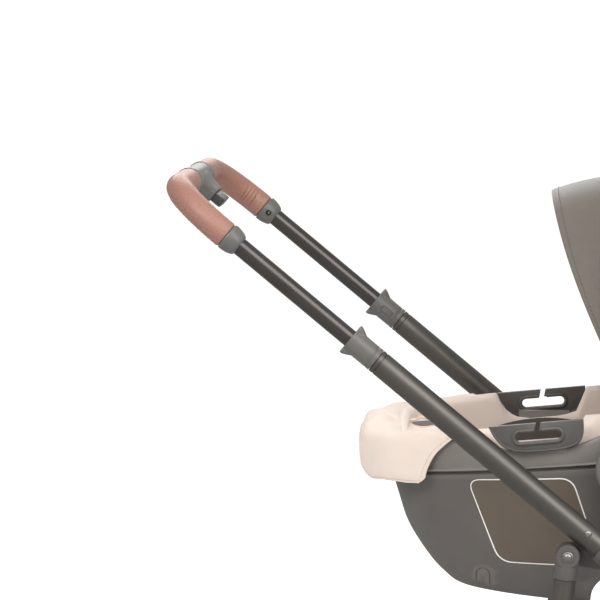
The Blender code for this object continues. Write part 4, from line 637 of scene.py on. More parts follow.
def stitches(name, points, normals, radius=0.00042):
    """A row of topstitches: short capsules of thread that follow a line on a surface."""
    length, gap = sizes().stitch_length, sizes().stitch_gap
    points = [Vector(p) for p in points]
    pieces, travelled, next_start = [], 0.0, 0.0
    for i, (a, b) in enumerate(zip(points, points[1:])):
        run = (b - a).length
        while next_start < travelled + run:
            t = (next_start - travelled) / run
            pieces.append((a.lerp(b, t), (b - a).normalized(), Vector(normals[i])))
            next_start += length + gap
        travelled += run
    deselect()
    bpy.ops.mesh.primitive_circle_add(vertices=6, radius=radius * 0.4, fill_type="NGON")
    stitch = bpy.context.object
    edit(stitch)
    for rise, scale in ((length * 0.12, 2.5), (length * 0.76, 1.0), (length * 0.12, 0.4)):
        extrude_up(rise)
        bpy.ops.transform.resize(value=(scale, scale, 1))
    close_edit()
    copies = []
    for place, along, normal in pieces:
        copy = copied("stitch", stitch)
        copy.data.transform(placed_matrix(place + normal * radius * 0.35, along))
        copies.append(copy)
    bpy.data.objects.remove(stitch, do_unlink=True)
    return joined(name, *copies)


def slab(name, outline, origin, across, up, half, bevel=0.0, segments=2):
    """A flat slab: a filled outline of (across, up) points, extruded both ways from its middle."""
    across, up = Vector(across).normalized(), Vector(up).normalized()
    out = across.cross(up)
    deselect()
    bpy.ops.mesh.primitive_circle_add(vertices=len(outline), radius=1.0, fill_type="NGON")
    obj = added(name)
    for vert, (u, v) in zip(obj.data.vertices, outline):
        vert.co = (u, v, -half)
    edit(obj)
    extrude_up(2 * half)
    bpy.ops.mesh.select_all(action="SELECT")
    close_edit()
    if bevel:
        round_edges(obj, bevel, segments)
    turn = Matrix((across, up, out)).transposed().to_4x4()
    obj.matrix_world = Matrix.Translation(origin) @ turn
    apply_place(obj)
    return obj


def plate(name, outline, y_from, y_to, bevel=0.0):
    """A flat plate in the side view: an outline of (x, z) points, extruded across from one y to the other."""
    return slab(name, outline, (0, (y_from + y_to) / 2, 0), X_AXIS, Z_AXIS, abs(y_to - y_from) / 2, bevel)


def pan_head(name, place, direction, radius=0.003, rise=0.0016):
    """A cross-slotted pan-head screw."""
    head = turned(name, place, direction, [
        (-0.001, radius), (rise * 0.35, radius), (rise * 0.75, radius * 0.82), (rise, radius * 0.45),
        (rise, 0.0003)], 24)
    slots = []
    for turn in (0.3, 0.3 + pi / 2):
        tool = slab("cross_slot", oblong(-radius * 0.6, radius * 0.6, -0.00035, 0.00035), (0, 0, rise),
                    (cos(turn), sin(turn), 0), (-sin(turn), cos(turn), 0), 0.0009)
        tool.data.transform(placed_matrix(place, direction))
        slots.append(tool)
    return cut(head, *slots)


def rivet(name, place, direction, radius, rise):
    """A domed tubular rivet with a rolled rim and a dimple."""
    return turned(name, place, direction, [
        (-0.0008, radius * 0.9), (0.0, radius), (rise * 0.25, radius * 1.02), (rise * 0.6, radius * 0.86),
        (rise * 0.9, radius * 0.6), (rise, radius * 0.34), (rise * 0.97, radius * 0.18),
        (rise * 0.8, radius * 0.05)], 32)


# Push handle

CROSSBAR_REACH = 0.7176     # from the hinge up the tube line to the crossbar
HANDLE_BEND = 0.08
INNER_RADIUS = 0.011
OUTER_RADIUS = 0.015
GRIP_RADIUS = 0.0165
CAP_TOP = 0.6336
CAP_LENGTH = 0.02
SLEEVE_TOP = 0.44
SLEEVE_LENGTH = 0.04
TUBE_END = 0.352            # lower end of the sliding tube, inside the outer tube
RELEASE_HALF_WIDTH = 0.072
RING_RADIUS = 0.0175
TONGUE_REACH = 0.033
TRIGGER_REACH = 0.015
HUB_COLLAR = 0.05          # upper end of the fold hub's collar, up the tube line

HALF_CROSSBAR = TRACK - HANDLE_BEND
BEND_LENGTH = HANDLE_BEND * pi / 2
HANDLE_LENGTH = HALF_CROSSBAR + BEND_LENGTH + CROSSBAR_REACH - HANDLE_BEND - TUBE_END
GRIP_END = HALF_CROSSBAR + BEND_LENGTH + CROSSBAR_REACH - HANDLE_BEND - CAP_TOP


def handle_frame(distance, side):
    """(point, outward) on the handle's centreline, that far from the middle of the crossbar."""
    inner = min(distance, HALF_CROSSBAR)
    bend = min(max(distance - HALF_CROSSBAR, 0.0), BEND_LENGTH) / HANDLE_BEND
    straight = max(distance - HALF_CROSSBAR - BEND_LENGTH, 0.0)
    reach = CROSSBAR_REACH - HANDLE_BEND * (1 - cos(bend)) - straight
    point = HINGE_FOOT + UP_TUBE * reach
    point.y = side * (inner + HANDLE_BEND * sin(bend))
    return point, UP_TUBE * cos(bend) + Y_AXIS * (side * sin(bend))


def handle_ring(distance, side, angle, radius):
    """A point round the handle's centreline; angle 0 is on the outer side of the bend."""
    point, out = handle_frame(distance, side)
    return point + (out * cos(angle) + ABOVE_TUBE * sin(angle)) * radius


def make_handle_tube():
    """The sliding tube: one bent tube from side to side."""
    rows = 150

    def whole(u, v):
        share = min(max((v * (rows + 2) - 1) / rows, 0.0), 1.0)
        radius = 0.0 if v < 0.5 / (rows + 2) or v > 1 - 0.5 / (rows + 2) else INNER_RADIUS
        distance = (share * 2 - 1) * HANDLE_LENGTH
        return handle_ring(abs(distance), 1 if distance >= 0 else -1, 2 * pi * u, radius)
    tube = outward(formed("push_handle_tube", 40, rows + 2, whole))
    dress(tube, "gloss_tube", "handle", ["handle_tube"], 50)


def make_grip(side, which):
    """A leatherette grip: rolled ends, a lengthwise seam underneath and grooves for the thumb."""
    start, end = RELEASE_HALF_WIDTH + GAP, GRIP_END - GAP
    rows = 220
    grooves = [end - 0.019 - 0.0062 * i for i in range(4)]

    def surface(u, v):
        row = v * (rows + 2) - 1
        share = min(max(row / rows, 0.0), 1.0)
        distance = mix(start, end, share)
        angle = 2 * pi * u
        radius = GRIP_RADIUS
        edge = min(distance - start, end - distance)
        radius -= 0.0011 * exp(-(edge / 0.001) ** 2)
        seam = (angle - 1.5 * pi) * GRIP_RADIUS
        radius -= 0.0007 * exp(-(seam / 0.0006) ** 2)
        radius += 0.00035 * exp(-((abs(seam) - 0.0019) / 0.0011) ** 2)
        inner = max(-cos(angle), 0.0) ** 2
        for groove in grooves:
            radius -= 0.0015 * inner * exp(-((distance - groove) / 0.0013) ** 2)
        radius += 0.00012 * noise.noise(Vector((distance * 160, angle * 2.5, side * 3.0)))
        if row < -0.5 or row > rows + 0.5:
            radius = 0.002
        return handle_ring(distance, side, angle, radius)
    grip = outward(formed(f"grip_leather_{which}", 96, rows + 2, surface,
                          (2 * pi * GRIP_RADIUS, end - start)))
    dress(grip, "leather", "handle", [f"grip_{which}"], 60)
    line, normals = [], []
    for i in range(121):
        distance = mix(start + 0.004, end - 0.004, i / 120)
        beside_seam = 1.5 * pi + 0.0026 / GRIP_RADIUS
        line.append(handle_ring(distance, side, beside_seam, GRIP_RADIUS + 0.0003))
        normals.append((line[-1] - handle_frame(distance, side)[0]).normalized())
    dress(stitches(f"grip_stitching_{which}", line, normals), "thread", "handle")


def make_grip_cap(side, which):
    """A tapered end cap with a rolled lip at the leather and a screw in its inner side."""
    top = on_tube(-CAP_TOP, side)
    cap = turned(f"grip_end_cap_{which}", top, DOWN_TUBE, [
        (0.0, 0.015), (0.0002, 0.0166), (0.0008, 0.0171), (0.003, 0.0173), (0.0062, 0.0171),
        (0.0098, 0.0166), (0.0132, 0.0158), (0.016, 0.0149), (0.018, 0.0139), (0.0193, 0.013),
        (0.02, 0.012), (0.0196, 0.0112), (0.019, 0.002)], 64)
    inner = Y_AXIS * -side
    place = on_tube(-CAP_TOP + CAP_LENGTH * 0.5, side) + inner * 0.0112
    tool = turned("screw_recess", place, inner, [(0.0, 0.0038), (0.02, 0.0042)], 32)
    cut(cap, tool)
    dress(cap, "grey_plastic", "handle", [f"grip_cap_{which}"], 42)
    dress(pan_head(f"grip_screw_{which}", place, inner, 0.003, 0.0017), "chrome", "handle")


def make_release_housing():
    """The Y-shaped housing: two rings on the crossbar, a waisted body and the tongue with its pocket."""
    middle = HINGE_FOOT + UP_TUBE * CROSSBAR_REACH
    start = middle - Y_AXIS * RELEASE_HALF_WIDTH
    width = 2 * RELEASE_HALF_WIDTH
    half_profile = [(0.0, 0.012), (0.0, RING_RADIUS - 0.0008), (0.0008, RING_RADIUS), (0.0112, RING_RADIUS),
                    (0.012, RING_RADIUS - 0.0008), (0.0122, RING_RADIUS - 0.0022),
                    (0.0138, RING_RADIUS - 0.0022), (0.0142, RING_RADIUS - 0.0012)]
    barrel = turned("release_barrel", start, Y_AXIS, mirrored(half_profile, width), 64)
    # (distance down, half width, half thickness, squareness): a saddle that narrows to the tongue
    stations = [(0.0, 0.0, 0.0, 2.0), (0.0, 0.056, 0.0158, 2.2), (0.008, 0.055, 0.0158, 2.4),
                (0.014, 0.0505, 0.014, 2.8), (0.02, 0.044, 0.0119, 3.4), (0.026, 0.0385, 0.0108, 4.0),
                (TONGUE_REACH - 0.002, 0.036, 0.0105, 4.5), (TONGUE_REACH - 0.0004, 0.0354, 0.0099, 4.5),
                (TONGUE_REACH, 0.034, 0.0088, 4.5), (TONGUE_REACH, 0.0, 0.0, 4.5)]

    def saddle(u, v):
        down, wide, thick, power = between(stations, v)
        c, s = around(u)
        return (middle + DOWN_TUBE * down + Y_AXIS * (wide * squared(c, 2 / power))
                + ABOVE_TUBE * (thick * squared(s, 2 / power)))
    tongue = outward(formed("release_tongue", 96, (len(stations) - 1) * 3, saddle))
    cut(tongue, slab("pocket", rounded_outline(oblong(-0.0308, 0.0308, 0.008, 0.06), [0.001] * 4, 2),
                     middle, Y_AXIS, DOWN_TUBE, 0.0074, 0.001))
    dress(joined("release_housing_body", barrel, tongue), "grey_plastic", "handle", ["release_housing"], 40)
    for way in (-1, 1):
        place = middle + Y_AXIS * (way * (RELEASE_HALF_WIDTH - 0.006)) + ABOVE_TUBE * -RING_RADIUS
        dress(pan_head(f"release_screw_{'right' if way < 0 else 'left'}", place + ABOVE_TUBE * 0.0004,
                       -ABOVE_TUBE, 0.0024, 0.001), "chrome", "handle")

    tip = TONGUE_REACH + TRIGGER_REACH
    core = slab("release_trigger_core", rounded_outline(
        oblong(-0.0298, 0.0298, 0.0248, tip), [0.001, 0.001, 0.006, 0.006]),
        middle, Y_AXIS, DOWN_TUBE, 0.0058, 0.002, 4)
    pad = slab("release_trigger_pad", rounded_outline(
        oblong(-0.0262, 0.0262, TONGUE_REACH + 0.0022, tip - 0.0026), [0.002, 0.002, 0.0045, 0.0045]),
        middle + ABOVE_TUBE * 0.0056, Y_AXIS, DOWN_TUBE, 0.0007, 0.0005)
    ribs = [slab("rib", oblong(-0.018, 0.018, 0, 0.0009),
                 middle + DOWN_TUBE * (TONGUE_REACH + 0.005 + 0.0024 * i) + ABOVE_TUBE * 0.0064,
                 Y_AXIS, DOWN_TUBE, 0.0004, 0.0002, 1) for i in range(3)]
    pad = joined("release_trigger_pad", pad, *ribs)
    dress(core, "smooth_plastic", "trigger", ["release_trigger"])
    # Painted highlight: the pad is dark plastic like the core, finished in the lighter grey so that the top
    # face looks lit
    dress(pad, "grey_plastic", "trigger", slot="dark_plastic")


def make_sleeve(side, which):
    """A telescope sleeve: finger wings that flare from a round collar, and a window on its inner side."""
    body = f"sleeve_{which}"
    top = on_tube(-SLEEVE_TOP, side)
    # (distance down the sleeve, scale of the wing, wall radius)
    stations = [(0.0052, 0.0, 0.003), (0.005, 0.0, 0.0118), (0.0004, 0.0, 0.0118), (-0.0002, 0.1, 0.0122),
                (-0.0005, 0.92, 0.0146), (-0.0001, 1.0, 0.015), (0.002, 1.0, 0.015),
                (0.0034, 0.94, 0.015), (0.007, 0.72, 0.015), (0.011, 0.42, 0.015),
                (0.014, 0.16, 0.015), (0.017, 0.0, 0.015), (0.024, 0.0, 0.0149),
                (0.033, 0.0, 0.0149), (0.0336, 0.0, 0.0145), (0.0344, 0.0, 0.0145), (0.035, 0.0, 0.015),
                (0.0392, 0.0, 0.015), (0.0398, 0.0, 0.0146), (0.0398, 0.0, 0.003)]
    rows = (len(stations) - 1) * 2

    def surface(u, v):
        down, wing, radius = between(stations, v)
        c, s = around(u)
        reach, thick = mix(0.013, 0.02, wing), mix(0.006, 0.009, wing)
        if wing > 0.0:
            blade = (max(abs(c) / thick, 1e-6) ** 7 + max(abs(s) / reach, 1e-6) ** 7) ** (-1 / 7)
            radius = max(radius, blade)
        return top + DOWN_TUBE * down + Y_AXIS * (c * radius) + ABOVE_TUBE * (s * radius)
    sleeve = outward(formed(f"telescope_sleeve_{which}_body", 96, rows, surface))
    inner = Y_AXIS * -side
    cut(sleeve, slab("window", rounded_outline(oblong(0.012, 0.03, -0.0045, 0.0045), [0.0012] * 4, 4),
                     top + inner * 0.0155, DOWN_TUBE, ABOVE_TUBE, 0.0016))
    dress(sleeve, "grey_plastic", body, [f"telescope_sleeve_{which}"], 36)
    plan = rounded_outline(oblong(0.0135, 0.028, -0.0034, 0.0034), [0.001] * 4, 4)
    latch = slab(f"sleeve_latch_{which}", plan, top + inner * 0.0139, DOWN_TUBE, ABOVE_TUBE,
                 0.0008, 0.0003)
    dress(latch, "grey_plastic", body, slot="dark_plastic")


def make_outer_tube(side, which):
    """An outer tube with the banded ring under its sleeve, and the rivet that holds it in the hub."""
    start = on_tube(-(SLEEVE_TOP - SLEEVE_LENGTH - GAP), side)
    length = SLEEVE_TOP - SLEEVE_LENGTH - GAP - HUB_COLLAR
    tube = turned(f"push_outer_tube_{which}", start, DOWN_TUBE, [
        (0.0002, 0.003), (0.0, 0.0142), (0.0005, OUTER_RADIUS), (0.0048, OUTER_RADIUS), (0.0052, 0.0142),
        (0.006, 0.0142), (0.0064, OUTER_RADIUS), (length / 2, OUTER_RADIUS), (length, OUTER_RADIUS),
        (length, 0.003)], 64)
    dress(tube, "satin_tube", "push_bar", [f"outer_tube_{which}"], 30)
    for way, face in ((side, "outer"), (-side, "inner")):
        place = on_tube(-HUB_COLLAR - 0.0223, side, 0.0045)
        place.y = side * TRACK + way * (OUTER_RADIUS - 0.0012)
        dress(rivet(f"tube_rivet_{face}_{which}", place, (0, way, 0), 0.0043, 0.0024), "chrome",
              "push_bar")


# Infant carrier

CAVITY_FLOOR = 0.556
CARRIER_POWER = 3.2         # squareness of the carrier seen from above
LEDGE_FOOT = 0.658          # ledge between shell and rim, at the foot end
LINER_RISE = 0.06
HEM_HEIGHT = 0.6482
RIM_GROWTH = 0.0036         # the rim's outer face outside the shell's edge
COVER_PUFF = 0.0335
COVER_SIDE_PUFF = 0.0068
GUIDE_PLACE = 0.171
GUIDE_CENTRE = Vector((PIVOT.x - 0.13, 0.0, 0.7115))
GUIDE_TILT = radians(5.4)
GUIDE_BOWL = [(0.058, 0.018), (0.0566, 0.0012), (0.0509, -0.0099), (0.0412, -0.015), (0.0239, -0.0176),
              (-0.0146, -0.0174), (-0.032, -0.0136), (-0.0435, -0.0069), (-0.0522, 0.0044), (-0.058, 0.018)]


def through(stations, where):
    """A smooth curve through stations of equal length; where runs from 0 to the last one."""
    i = min(int(where), len(stations) - 2)
    t = where - i
    a, b, c, d = (stations[min(max(i + k, 0), len(stations) - 1)] for k in (-1, 0, 1, 2))
    return [0.5 * (2 * q + (r - p) * t + (2 * p - 5 * q + 4 * r - s) * t ** 2
                   + (3 * q - p - 3 * r + s) * t ** 3) for p, q, r, s in zip(a, b, c, d)]


def ledge_height(x):
    """Height of the ledge between shell and rim; it climbs round the baby's head."""
    return LEDGE_FOOT + 0.0755 * (x - SHELL_FOOT) + 0.045 * smooth_step(x - PIVOT.x, 0.02, 0.306)


def bottom_height(x):
    ahead = x - PIVOT.x
    return SHELL_BOTTOM - 0.0028 + 0.085 * max(-0.064 - ahead, 0.0) + 0.1 * max(ahead - 0.085, 0.0)


def rim_height(x):
    ahead = x - PIVOT.x
    return 0.0245 + 0.0145 * smooth_step(-ahead, 0.165, 0.21) + 0.013 * smooth_step(ahead, -0.082, -0.05)


def liner_top(x, y):
    """Height of the lining's edge: tucked down on the right, and following each belt guide's outline."""
    tucked = 0.0105 * smooth_step(-x, 0.085, 0.135) + 0.0045 * smooth_step(-x, 0.17, 0.215)
    full, along = ledge_height(x) + LINER_RISE - tucked * smooth_step(-y, -0.02, 0.06), x - GUIDE_CENTRE.x
    for (u, v), (next_u, next_v) in zip(GUIDE_BOWL, GUIDE_BOWL[1:]):
        if next_u <= along < u:
            low = max(mix(next_v, v, (along - next_u) / (u - next_u)), -0.0076 if y < 0 else -1.0)
            return min(full, GUIDE_CENTRE.z + low + along * sin(GUIDE_TILT) + 0.0016)
    return full


def seat_height(x):
    ahead = x - PIVOT.x
    return 0.578 + 0.135 * smooth_step(ahead, 0.02, 0.28) + 0.03 * smooth_step(-ahead, 0.1, 0.28)


def plan_point(u, foot_in, head_in, half_in, scale=1.0):
    """A point of the carrier's rounded oblong seen from above, moved in from the shell's edge."""
    foot, head, scale = SHELL_FOOT + foot_in, SHELL_HEAD - head_in, min(max(scale, 0.0), 1.0)
    c, s = around(u)
    x = (foot + head) / 2 + scale * (head - foot) / 2 * squared(c, 2 / CARRIER_POWER)
    y = scale * (SHELL_HALF_WIDTH - half_in) * squared(s, 2 / CARRIER_POWER)
    return x, y


# (share of the height below the ledge, inset at the foot, at the head, at the sides, scale)
SHELL_OUTSIDE = [
    (1.0, 0.084, 0.11, 0.042, 0.0), (1.0, 0.084, 0.11, 0.042, 0.5), (1.0, 0.081, 0.108, 0.04, 1.0),
    (0.985, 0.0765, 0.101, 0.036, 1.0), (0.95, 0.07, 0.092, 0.031, 1.0), (0.85, 0.0545, 0.073, 0.0235, 1.0),
    (0.68, 0.0362, 0.052, 0.0162, 1.0), (0.49, 0.0212, 0.0335, 0.0105, 1.0), (0.25, 0.0105, 0.014, 0.005, 1.0),
    (0.0, 0.0, 0.0, 0.0, 1.0)]
SHELL_INSIDE = [
    (0.0, 0.004, 0.004, 0.004, 1.0), (0.3, 0.016, 0.021, 0.01, 1.0), (0.62, 0.04, 0.052, 0.019, 1.0),
    (0.62, 0.04, 0.052, 0.019, 0.5), (0.62, 0.04, 0.052, 0.019, 0.0)]


def make_shell():
    """The shell: a deep moulded tub, arched through underneath, with a socket on each side."""
    outside, inside = len(SHELL_OUTSIDE) - 1, len(SHELL_INSIDE) - 1
    rows = 5 * (outside + inside) + 1

    def surface(u, v):
        where = v * rows / 5.0
        if where <= outside:
            share, *insets = through(SHELL_OUTSIDE, where)
            floor = 0.0
        else:
            share, *insets = through(SHELL_INSIDE, min(max(where - outside - 0.2, 0.0), inside))
            floor = CAVITY_FLOOR
        x, y = plan_point(u, *insets)
        top, low = ledge_height(x), bottom_height(x)
        return Vector((x, y, max(top + (low - top) * share, floor)))
    shell = outward(formed("shell_tub", 128, rows, surface, merge=1e-5))
    middle, reach = PIVOT.x + 0.0105, 0.0745
    arch = [(middle + reach * c, SHELL_BOTTOM + 0.046 * s ** 0.8)
            for c, s in (around(i / 56) for i in range(29))]
    tunnel = plate("tunnel", arch + [(middle - reach, 0.47), (middle + reach, 0.47)], -0.2, 0.2)
    cut(shell, tunnel)
    # An engraved tab line on each side of the shell
    for side in (-1, 1):
        line = []
        for i in range(25):
            t = i / 24
            if t < 0.3:
                x, z = -0.1705, mix(0.5235, 0.5335, t / 0.3)
            elif t > 0.7:
                x, z = -0.1535, mix(0.5335, 0.519, (t - 0.7) / 0.3)
            else:
                turn = pi * (0.7 - t) / 0.4
                x, z = -0.162 + 0.0085 * cos(turn), 0.5335 + 0.0085 * sin(turn)
            line.append(shell.ray_cast(Vector((x, side * 0.3, z)), Y_AXIS * -side)[1])
        cut(shell, tube_along("tab_groove", line, 0.0009, 8))
    round_edges(shell, 0.0012, 2, 50.0)
    for side, which in SIDES:
        outline = rounded_outline(oblong(PIVOT.x - 0.042, PIVOT.x + 0.042, 0.5994, 0.634),
                                  [0.002, 0.002, 0.008, 0.008], 6)
        boss = plate("adapter_socket", outline, side * 0.15, side * 0.2055, 0.0018)
        cut(boss, plate("socket", oblong(PIVOT.x - 0.0186, PIVOT.x + 0.0186, 0.58, 0.63),
                        side * 0.1899, side * 0.2011))
        pin = turned("hub_boss", (HUB_CENTRE.x, side * 0.158, HUB_CENTRE.z), (0, side, 0),
                     [(0.0, 0.012), (0.02, 0.0105), (0.0317, 0.01), (0.0317, 0.0005)], 40)
        shell = joined("shell_tub", shell, boss, pin)
    dress(shell, "shell", "carrier", ["carrier_shell"], 32)
    return shell


def tube_along(name, points, radius, sides):
    """A round bar through points, closed at its ends."""
    points = [Vector(p) for p in points]
    steps = [(b - a).normalized() for a, b in zip(points, points[1:])]
    frames, up = [], None
    for i in range(len(points)):
        along = (steps[max(i - 1, 0)] + steps[min(i, len(steps) - 1)]).normalized()
        if up is None:
            up = Z_AXIS if abs(along.z) < 0.9 else X_AXIS
        up = (up - along * up.dot(along)).normalized()
        frames.append((points[i], along.cross(up), up))
    rows = len(points) + 1

    def surface(u, v):
        row = round(v * rows)
        point, across, rise = frames[min(max(row - 1, 0), len(points) - 1)]
        reach = 0.0 if row in (0, rows) else radius
        c, s = around(u)
        return point + across * (reach * c) + rise * (reach * s)
    return outward(formed(name, sides, rows, surface, (2 * pi * radius, 0.01 * rows)))


def make_label():
    """The bare panel on the shell's right side: printed film with a thin pale line round it."""
    corners = [(-0.1815, 0.6556), (-0.052, 0.6612), (-0.015, 0.549), (-0.142, 0.5516)]
    radii = [0.012, 0.022, 0.01, 0.026]
    shell = bpy.data.objects["shell_tub"]
    middle = Vector((sum(x for x, _ in corners) / 4, sum(z for _, z in corners) / 4))

    def panel(name, inset, lift, finish_name):
        shrunk = []
        for x, z in corners:
            away = Vector((x, z)) - middle
            shrunk.append(tuple(middle + away * (1 - inset / away.length * 1.25)))
        outline = evenly(rounded_outline(shrunk, [max(r - inset, 0.001) for r in radii], 10), 0.0022)
        count = len(outline)

        def surface(u, v):
            x, z = outline[round(u * count) % count]
            x, z = mix(middle.x, x, v), mix(middle.y, z, v)
            hit = shell.ray_cast(Vector((x, -0.3, z)), Y_AXIS)
            return hit[1] + hit[2] * lift
        obj = outward(formed(name, count, 24, surface, (0.12, 0.1)))
        if sum(p.normal.y for p in obj.data.polygons) > 0:
            edit(obj)
            bpy.ops.mesh.flip_normals()
            close_edit(outward=False)
        add_modifier(obj, "SOLIDIFY", thickness=lift * 0.9, offset=-1.0)
        dress(obj, finish_name, "carrier", slot="shell_plastic", angle=30)
    panel("panel_keyline", 0.0, 0.00025, "keyline")
    panel("panel_film", sizes().keyline, 0.00045, "label")


# (outward growth, share of the rim's height)
RIM_SECTION = [
    (-0.0035, 0.005), (0.0016, 0.0), (0.0042, 0.012), (0.0052, 0.045), (0.0044, 0.085), (0.0027, 0.112),
    (0.0027, 0.15), (0.0034, 0.35), (0.0037, 0.6), (0.0033, 0.84), (0.0024, 0.94), (0.0008, 1.0),
    (-0.003, 1.0), (-0.0044, 0.94), (-0.0046, 0.5), (-0.0044, 0.06), (-0.0035, 0.005)]


def make_rim():
    """The rim: a smooth band round the shell's mouth over a bright lip, with the pads for the guides."""
    last = len(RIM_SECTION) - 1

    def surface(u, v):
        grow, share = through(RIM_SECTION, v * last) if v < 1.0 else RIM_SECTION[0]
        x, y = plan_point(u, -grow, -grow, -grow)
        return Vector((x, y, ledge_height(x) + GAP + rim_height(x) * max(share, 0.0)))
    pieces = [outward(formed("rim_band", 160, last * 2, surface))]
    for side in (-1, 1):
        pieces.append(plate("guide_pad", rounded_outline(
            oblong(GUIDE_CENTRE.x - 0.03, GUIDE_CENTRE.x + 0.036,
                   GUIDE_CENTRE.z - 0.019, GUIDE_CENTRE.z - 0.0085),
            [0.001] * 4, 2), side * 0.158, side * 0.1672))
        pieces.append(turned("canopy_pin", (CANOPY_PIVOT.x, side * 0.16, CANOPY_PIVOT.z), (0, side, 0),
                             [(0.0, 0.008), (0.0142, 0.008), (0.0142, 0.005), (0.0284, 0.005),
                              (0.0288, 0.0044), (0.0288, 0.0004)], 32))
        post_x = -0.2345
        for x in (post_x, post_x + 0.0042):
            pieces.append(tube_along("rim_post", [
                plan_surface(x, side, 0.003, ledge_height(x) + 0.0012),
                plan_surface(x, side, 0.003, ledge_height(x) + rim_height(x) * 0.9)], 0.0009, 8))
    dress(joined("rim_band", *pieces), "rim", "carrier", ["carrier_rim"], 36)


def plan_surface(x, side, grow, z):
    """The point of the carrier's oblong, grown outwards, at a given x on one side."""
    reach = (SHELL_HEAD - SHELL_FOOT) / 2 + grow
    share = abs(x - (SHELL_HEAD + SHELL_FOOT) / 2) / reach
    half = (SHELL_HALF_WIDTH + grow) * max(1 - share ** CARRIER_POWER, 0.0) ** (1 / CARRIER_POWER)
    return Vector((x, side * half, z))


def make_belt_guide(side, which):
    """A belt guide: a bowl-shaped plate with a lipped slot that a belt enters through a slanted gap."""
    place = Vector((GUIDE_CENTRE.x, side * GUIDE_PLACE, GUIDE_CENTRE.z))
    across = Vector((cos(GUIDE_TILT), 0, sin(GUIDE_TILT)))
    up = Vector((-sin(GUIDE_TILT), 0, cos(GUIDE_TILT)))
    outline = [tuple(through(GUIDE_BOWL, 9 * i / 63)) for i in range(64)]
    guide = slab(f"belt_guide_plate_{which}", outline, place, across, up, 0.0034, 0.0016, 3)
    slot_x, slot_z, slot_half, slot_round = 0.0015, 0.0015, 0.022, 0.0068
    stadium = link_outline((slot_x - slot_half, slot_z), slot_round,
                           (slot_x + slot_half, slot_z), slot_round, 14)
    mouth = [(slot_x + 0.0002, 0.025), (slot_x + 0.0062, 0.025),
             (slot_x - 0.0002, slot_z), (slot_x - 0.0062, slot_z)]
    cut(guide, slab("slot", stadium, place, across, up, 0.01), slab("mouth", mouth, place, across, up, 0.01))
    lips = []
    out = across.cross(up)
    for face in (-1, 1):
        points = [place + across * u + up * v + out * (face * 0.0034) for u, v in stadium_walk(
            slot_x, slot_z, slot_half, slot_round + 0.0012, 0.005)]
        lips.append(tube_along("slot_lip", points, 0.0024, 12))
        lips.append(tube_along("edge_bead", [
            place + across * (u * 0.972) + up * (0.018 + (v - 0.018) * 0.95) + out * (face * 0.003)
            for u, v in outline[1:-1]], 0.0013, 10))
    guide = joined(f"belt_guide_plate_{which}", guide, *lips)
    dress(guide, "black_plastic", "carrier", [f"belt_guide_{which}"], 40, slot="grey_plastic")


def stadium_walk(x, z, half, radius, gap, steps=14):
    """A stadium's outline from one side of the gap in its top, round to the other side."""
    right = arc((x + half, z), radius, pi / 2, -pi / 2, steps)
    left = arc((x - half, z), radius, -pi / 2, -3 * pi / 2, steps)
    return [(x + gap, z + radius)] + right + left + [(x - gap, z + radius)]


# Soft goods of the carrier

COVER_HEM_TURN = radians(43.3)
SLIT_FROM = -0.2619
SLIT_TO = -0.224


def make_liner():
    """The padded lining: a soft roll above the rim, quilted walls and a seat."""
    def profile(x, y):
        top, ledge, seat = liner_top(x, y), ledge_height(x), seat_height(x)
        low = ledge + (bottom_height(x) - ledge) * 0.3
        under = max(seat - 0.016, 0.5625)

        def even(inset, height):
            return inset, inset, inset, height, 1.0
        return [
            (0.0295, 0.0255, 0.0145, low, 1.0), even(0.0082, ledge), even(0.008, mix(ledge, top, 0.55)),
            even(0.0086, top - 0.0075), even(0.0118, top - 0.0012), even(0.0162, top + 0.0002),
            even(0.0212, top - 0.003), even(0.0238, top - 0.011), even(0.024, mix(ledge, top, 0.35)),
            (0.027, 0.026, 0.024, ledge - 0.012, 1.0), (0.044, 0.04, 0.029, mix(low, seat, 0.3), 1.0),
            (0.066, 0.066, 0.04, seat + 0.01, 1.0), (0.09, 0.09, 0.056, seat + 0.001, 1.0),
            (0.09, 0.09, 0.056, seat, 0.66), (0.09, 0.09, 0.056, seat, 0.33), (0.09, 0.09, 0.056, seat, 0.0),
            (0.09, 0.09, 0.056, under, 0.0), (0.09, 0.09, 0.056, under, 0.6),
            (0.076, 0.076, 0.04, max(seat - 0.014, 0.563), 1.0), (0.0295, 0.0255, 0.0145, low, 1.0)]

    def surface(u, v):
        x, y = plan_point(u, 0.0, 0.0, 0.0)
        foot, head, half, _, scale = through(profile(x, y), v * 19)
        x, y = plan_point(u, foot, head, half, scale)
        z = through(profile(x, y), v * 19)[3]
        quilt = smooth_step(v * 19, 7.5, 9.0) * smooth_step(-v * 19, -15.0, -13.0)
        point = Vector((x, y, z))
        inside = (Vector((-0.02, 0.0, 0.66)) - point).normalized()
        tuft = abs(sin(pi * u * 26)) ** 0.5 * abs(sin(pi * v * 19 / 2)) ** 0.4
        crease = noise.noise(point * 38.0) * 0.0011
        return point + inside * (0.0034 * quilt * (tuft - 0.6) + crease * (0.4 + quilt))
    liner = outward(formed("quilted_liner", 208, 114, surface, (1.9, 0.9), 1e-5))
    dress(liner, "beige_quilt", "carrier", ["seat_liner"], 60)
    # A dark plate on the inner wall under each guide, where the lining dips: partly the bare shell showing
    # through, partly painted shade
    for side, which in SIDES:
        def plate_surface(u, v, side=side):
            x = mix(-0.156, -0.057, u)
            top = 0.6966 - 0.006 * (2 * u - 1) ** 2 + (x - GUIDE_CENTRE.x) * sin(GUIDE_TILT)
            return plan_surface(x, side, -0.0256, mix(0.652, top, v))
        panel = formed(f"guide_backplate_{which}", 28, 8, plate_surface, (0.1, 0.04), 0.0)
        dress(thickened(panel, 0.0024), "black_plastic", "carrier", slot="grey_plastic")


def rim_plan(turn):
    """The rim's outer face seen from above, at a turn round the foot end."""
    return plan_point(0.5 + turn / (2 * pi), -RIM_GROWTH, -RIM_GROWTH, -RIM_GROWTH)


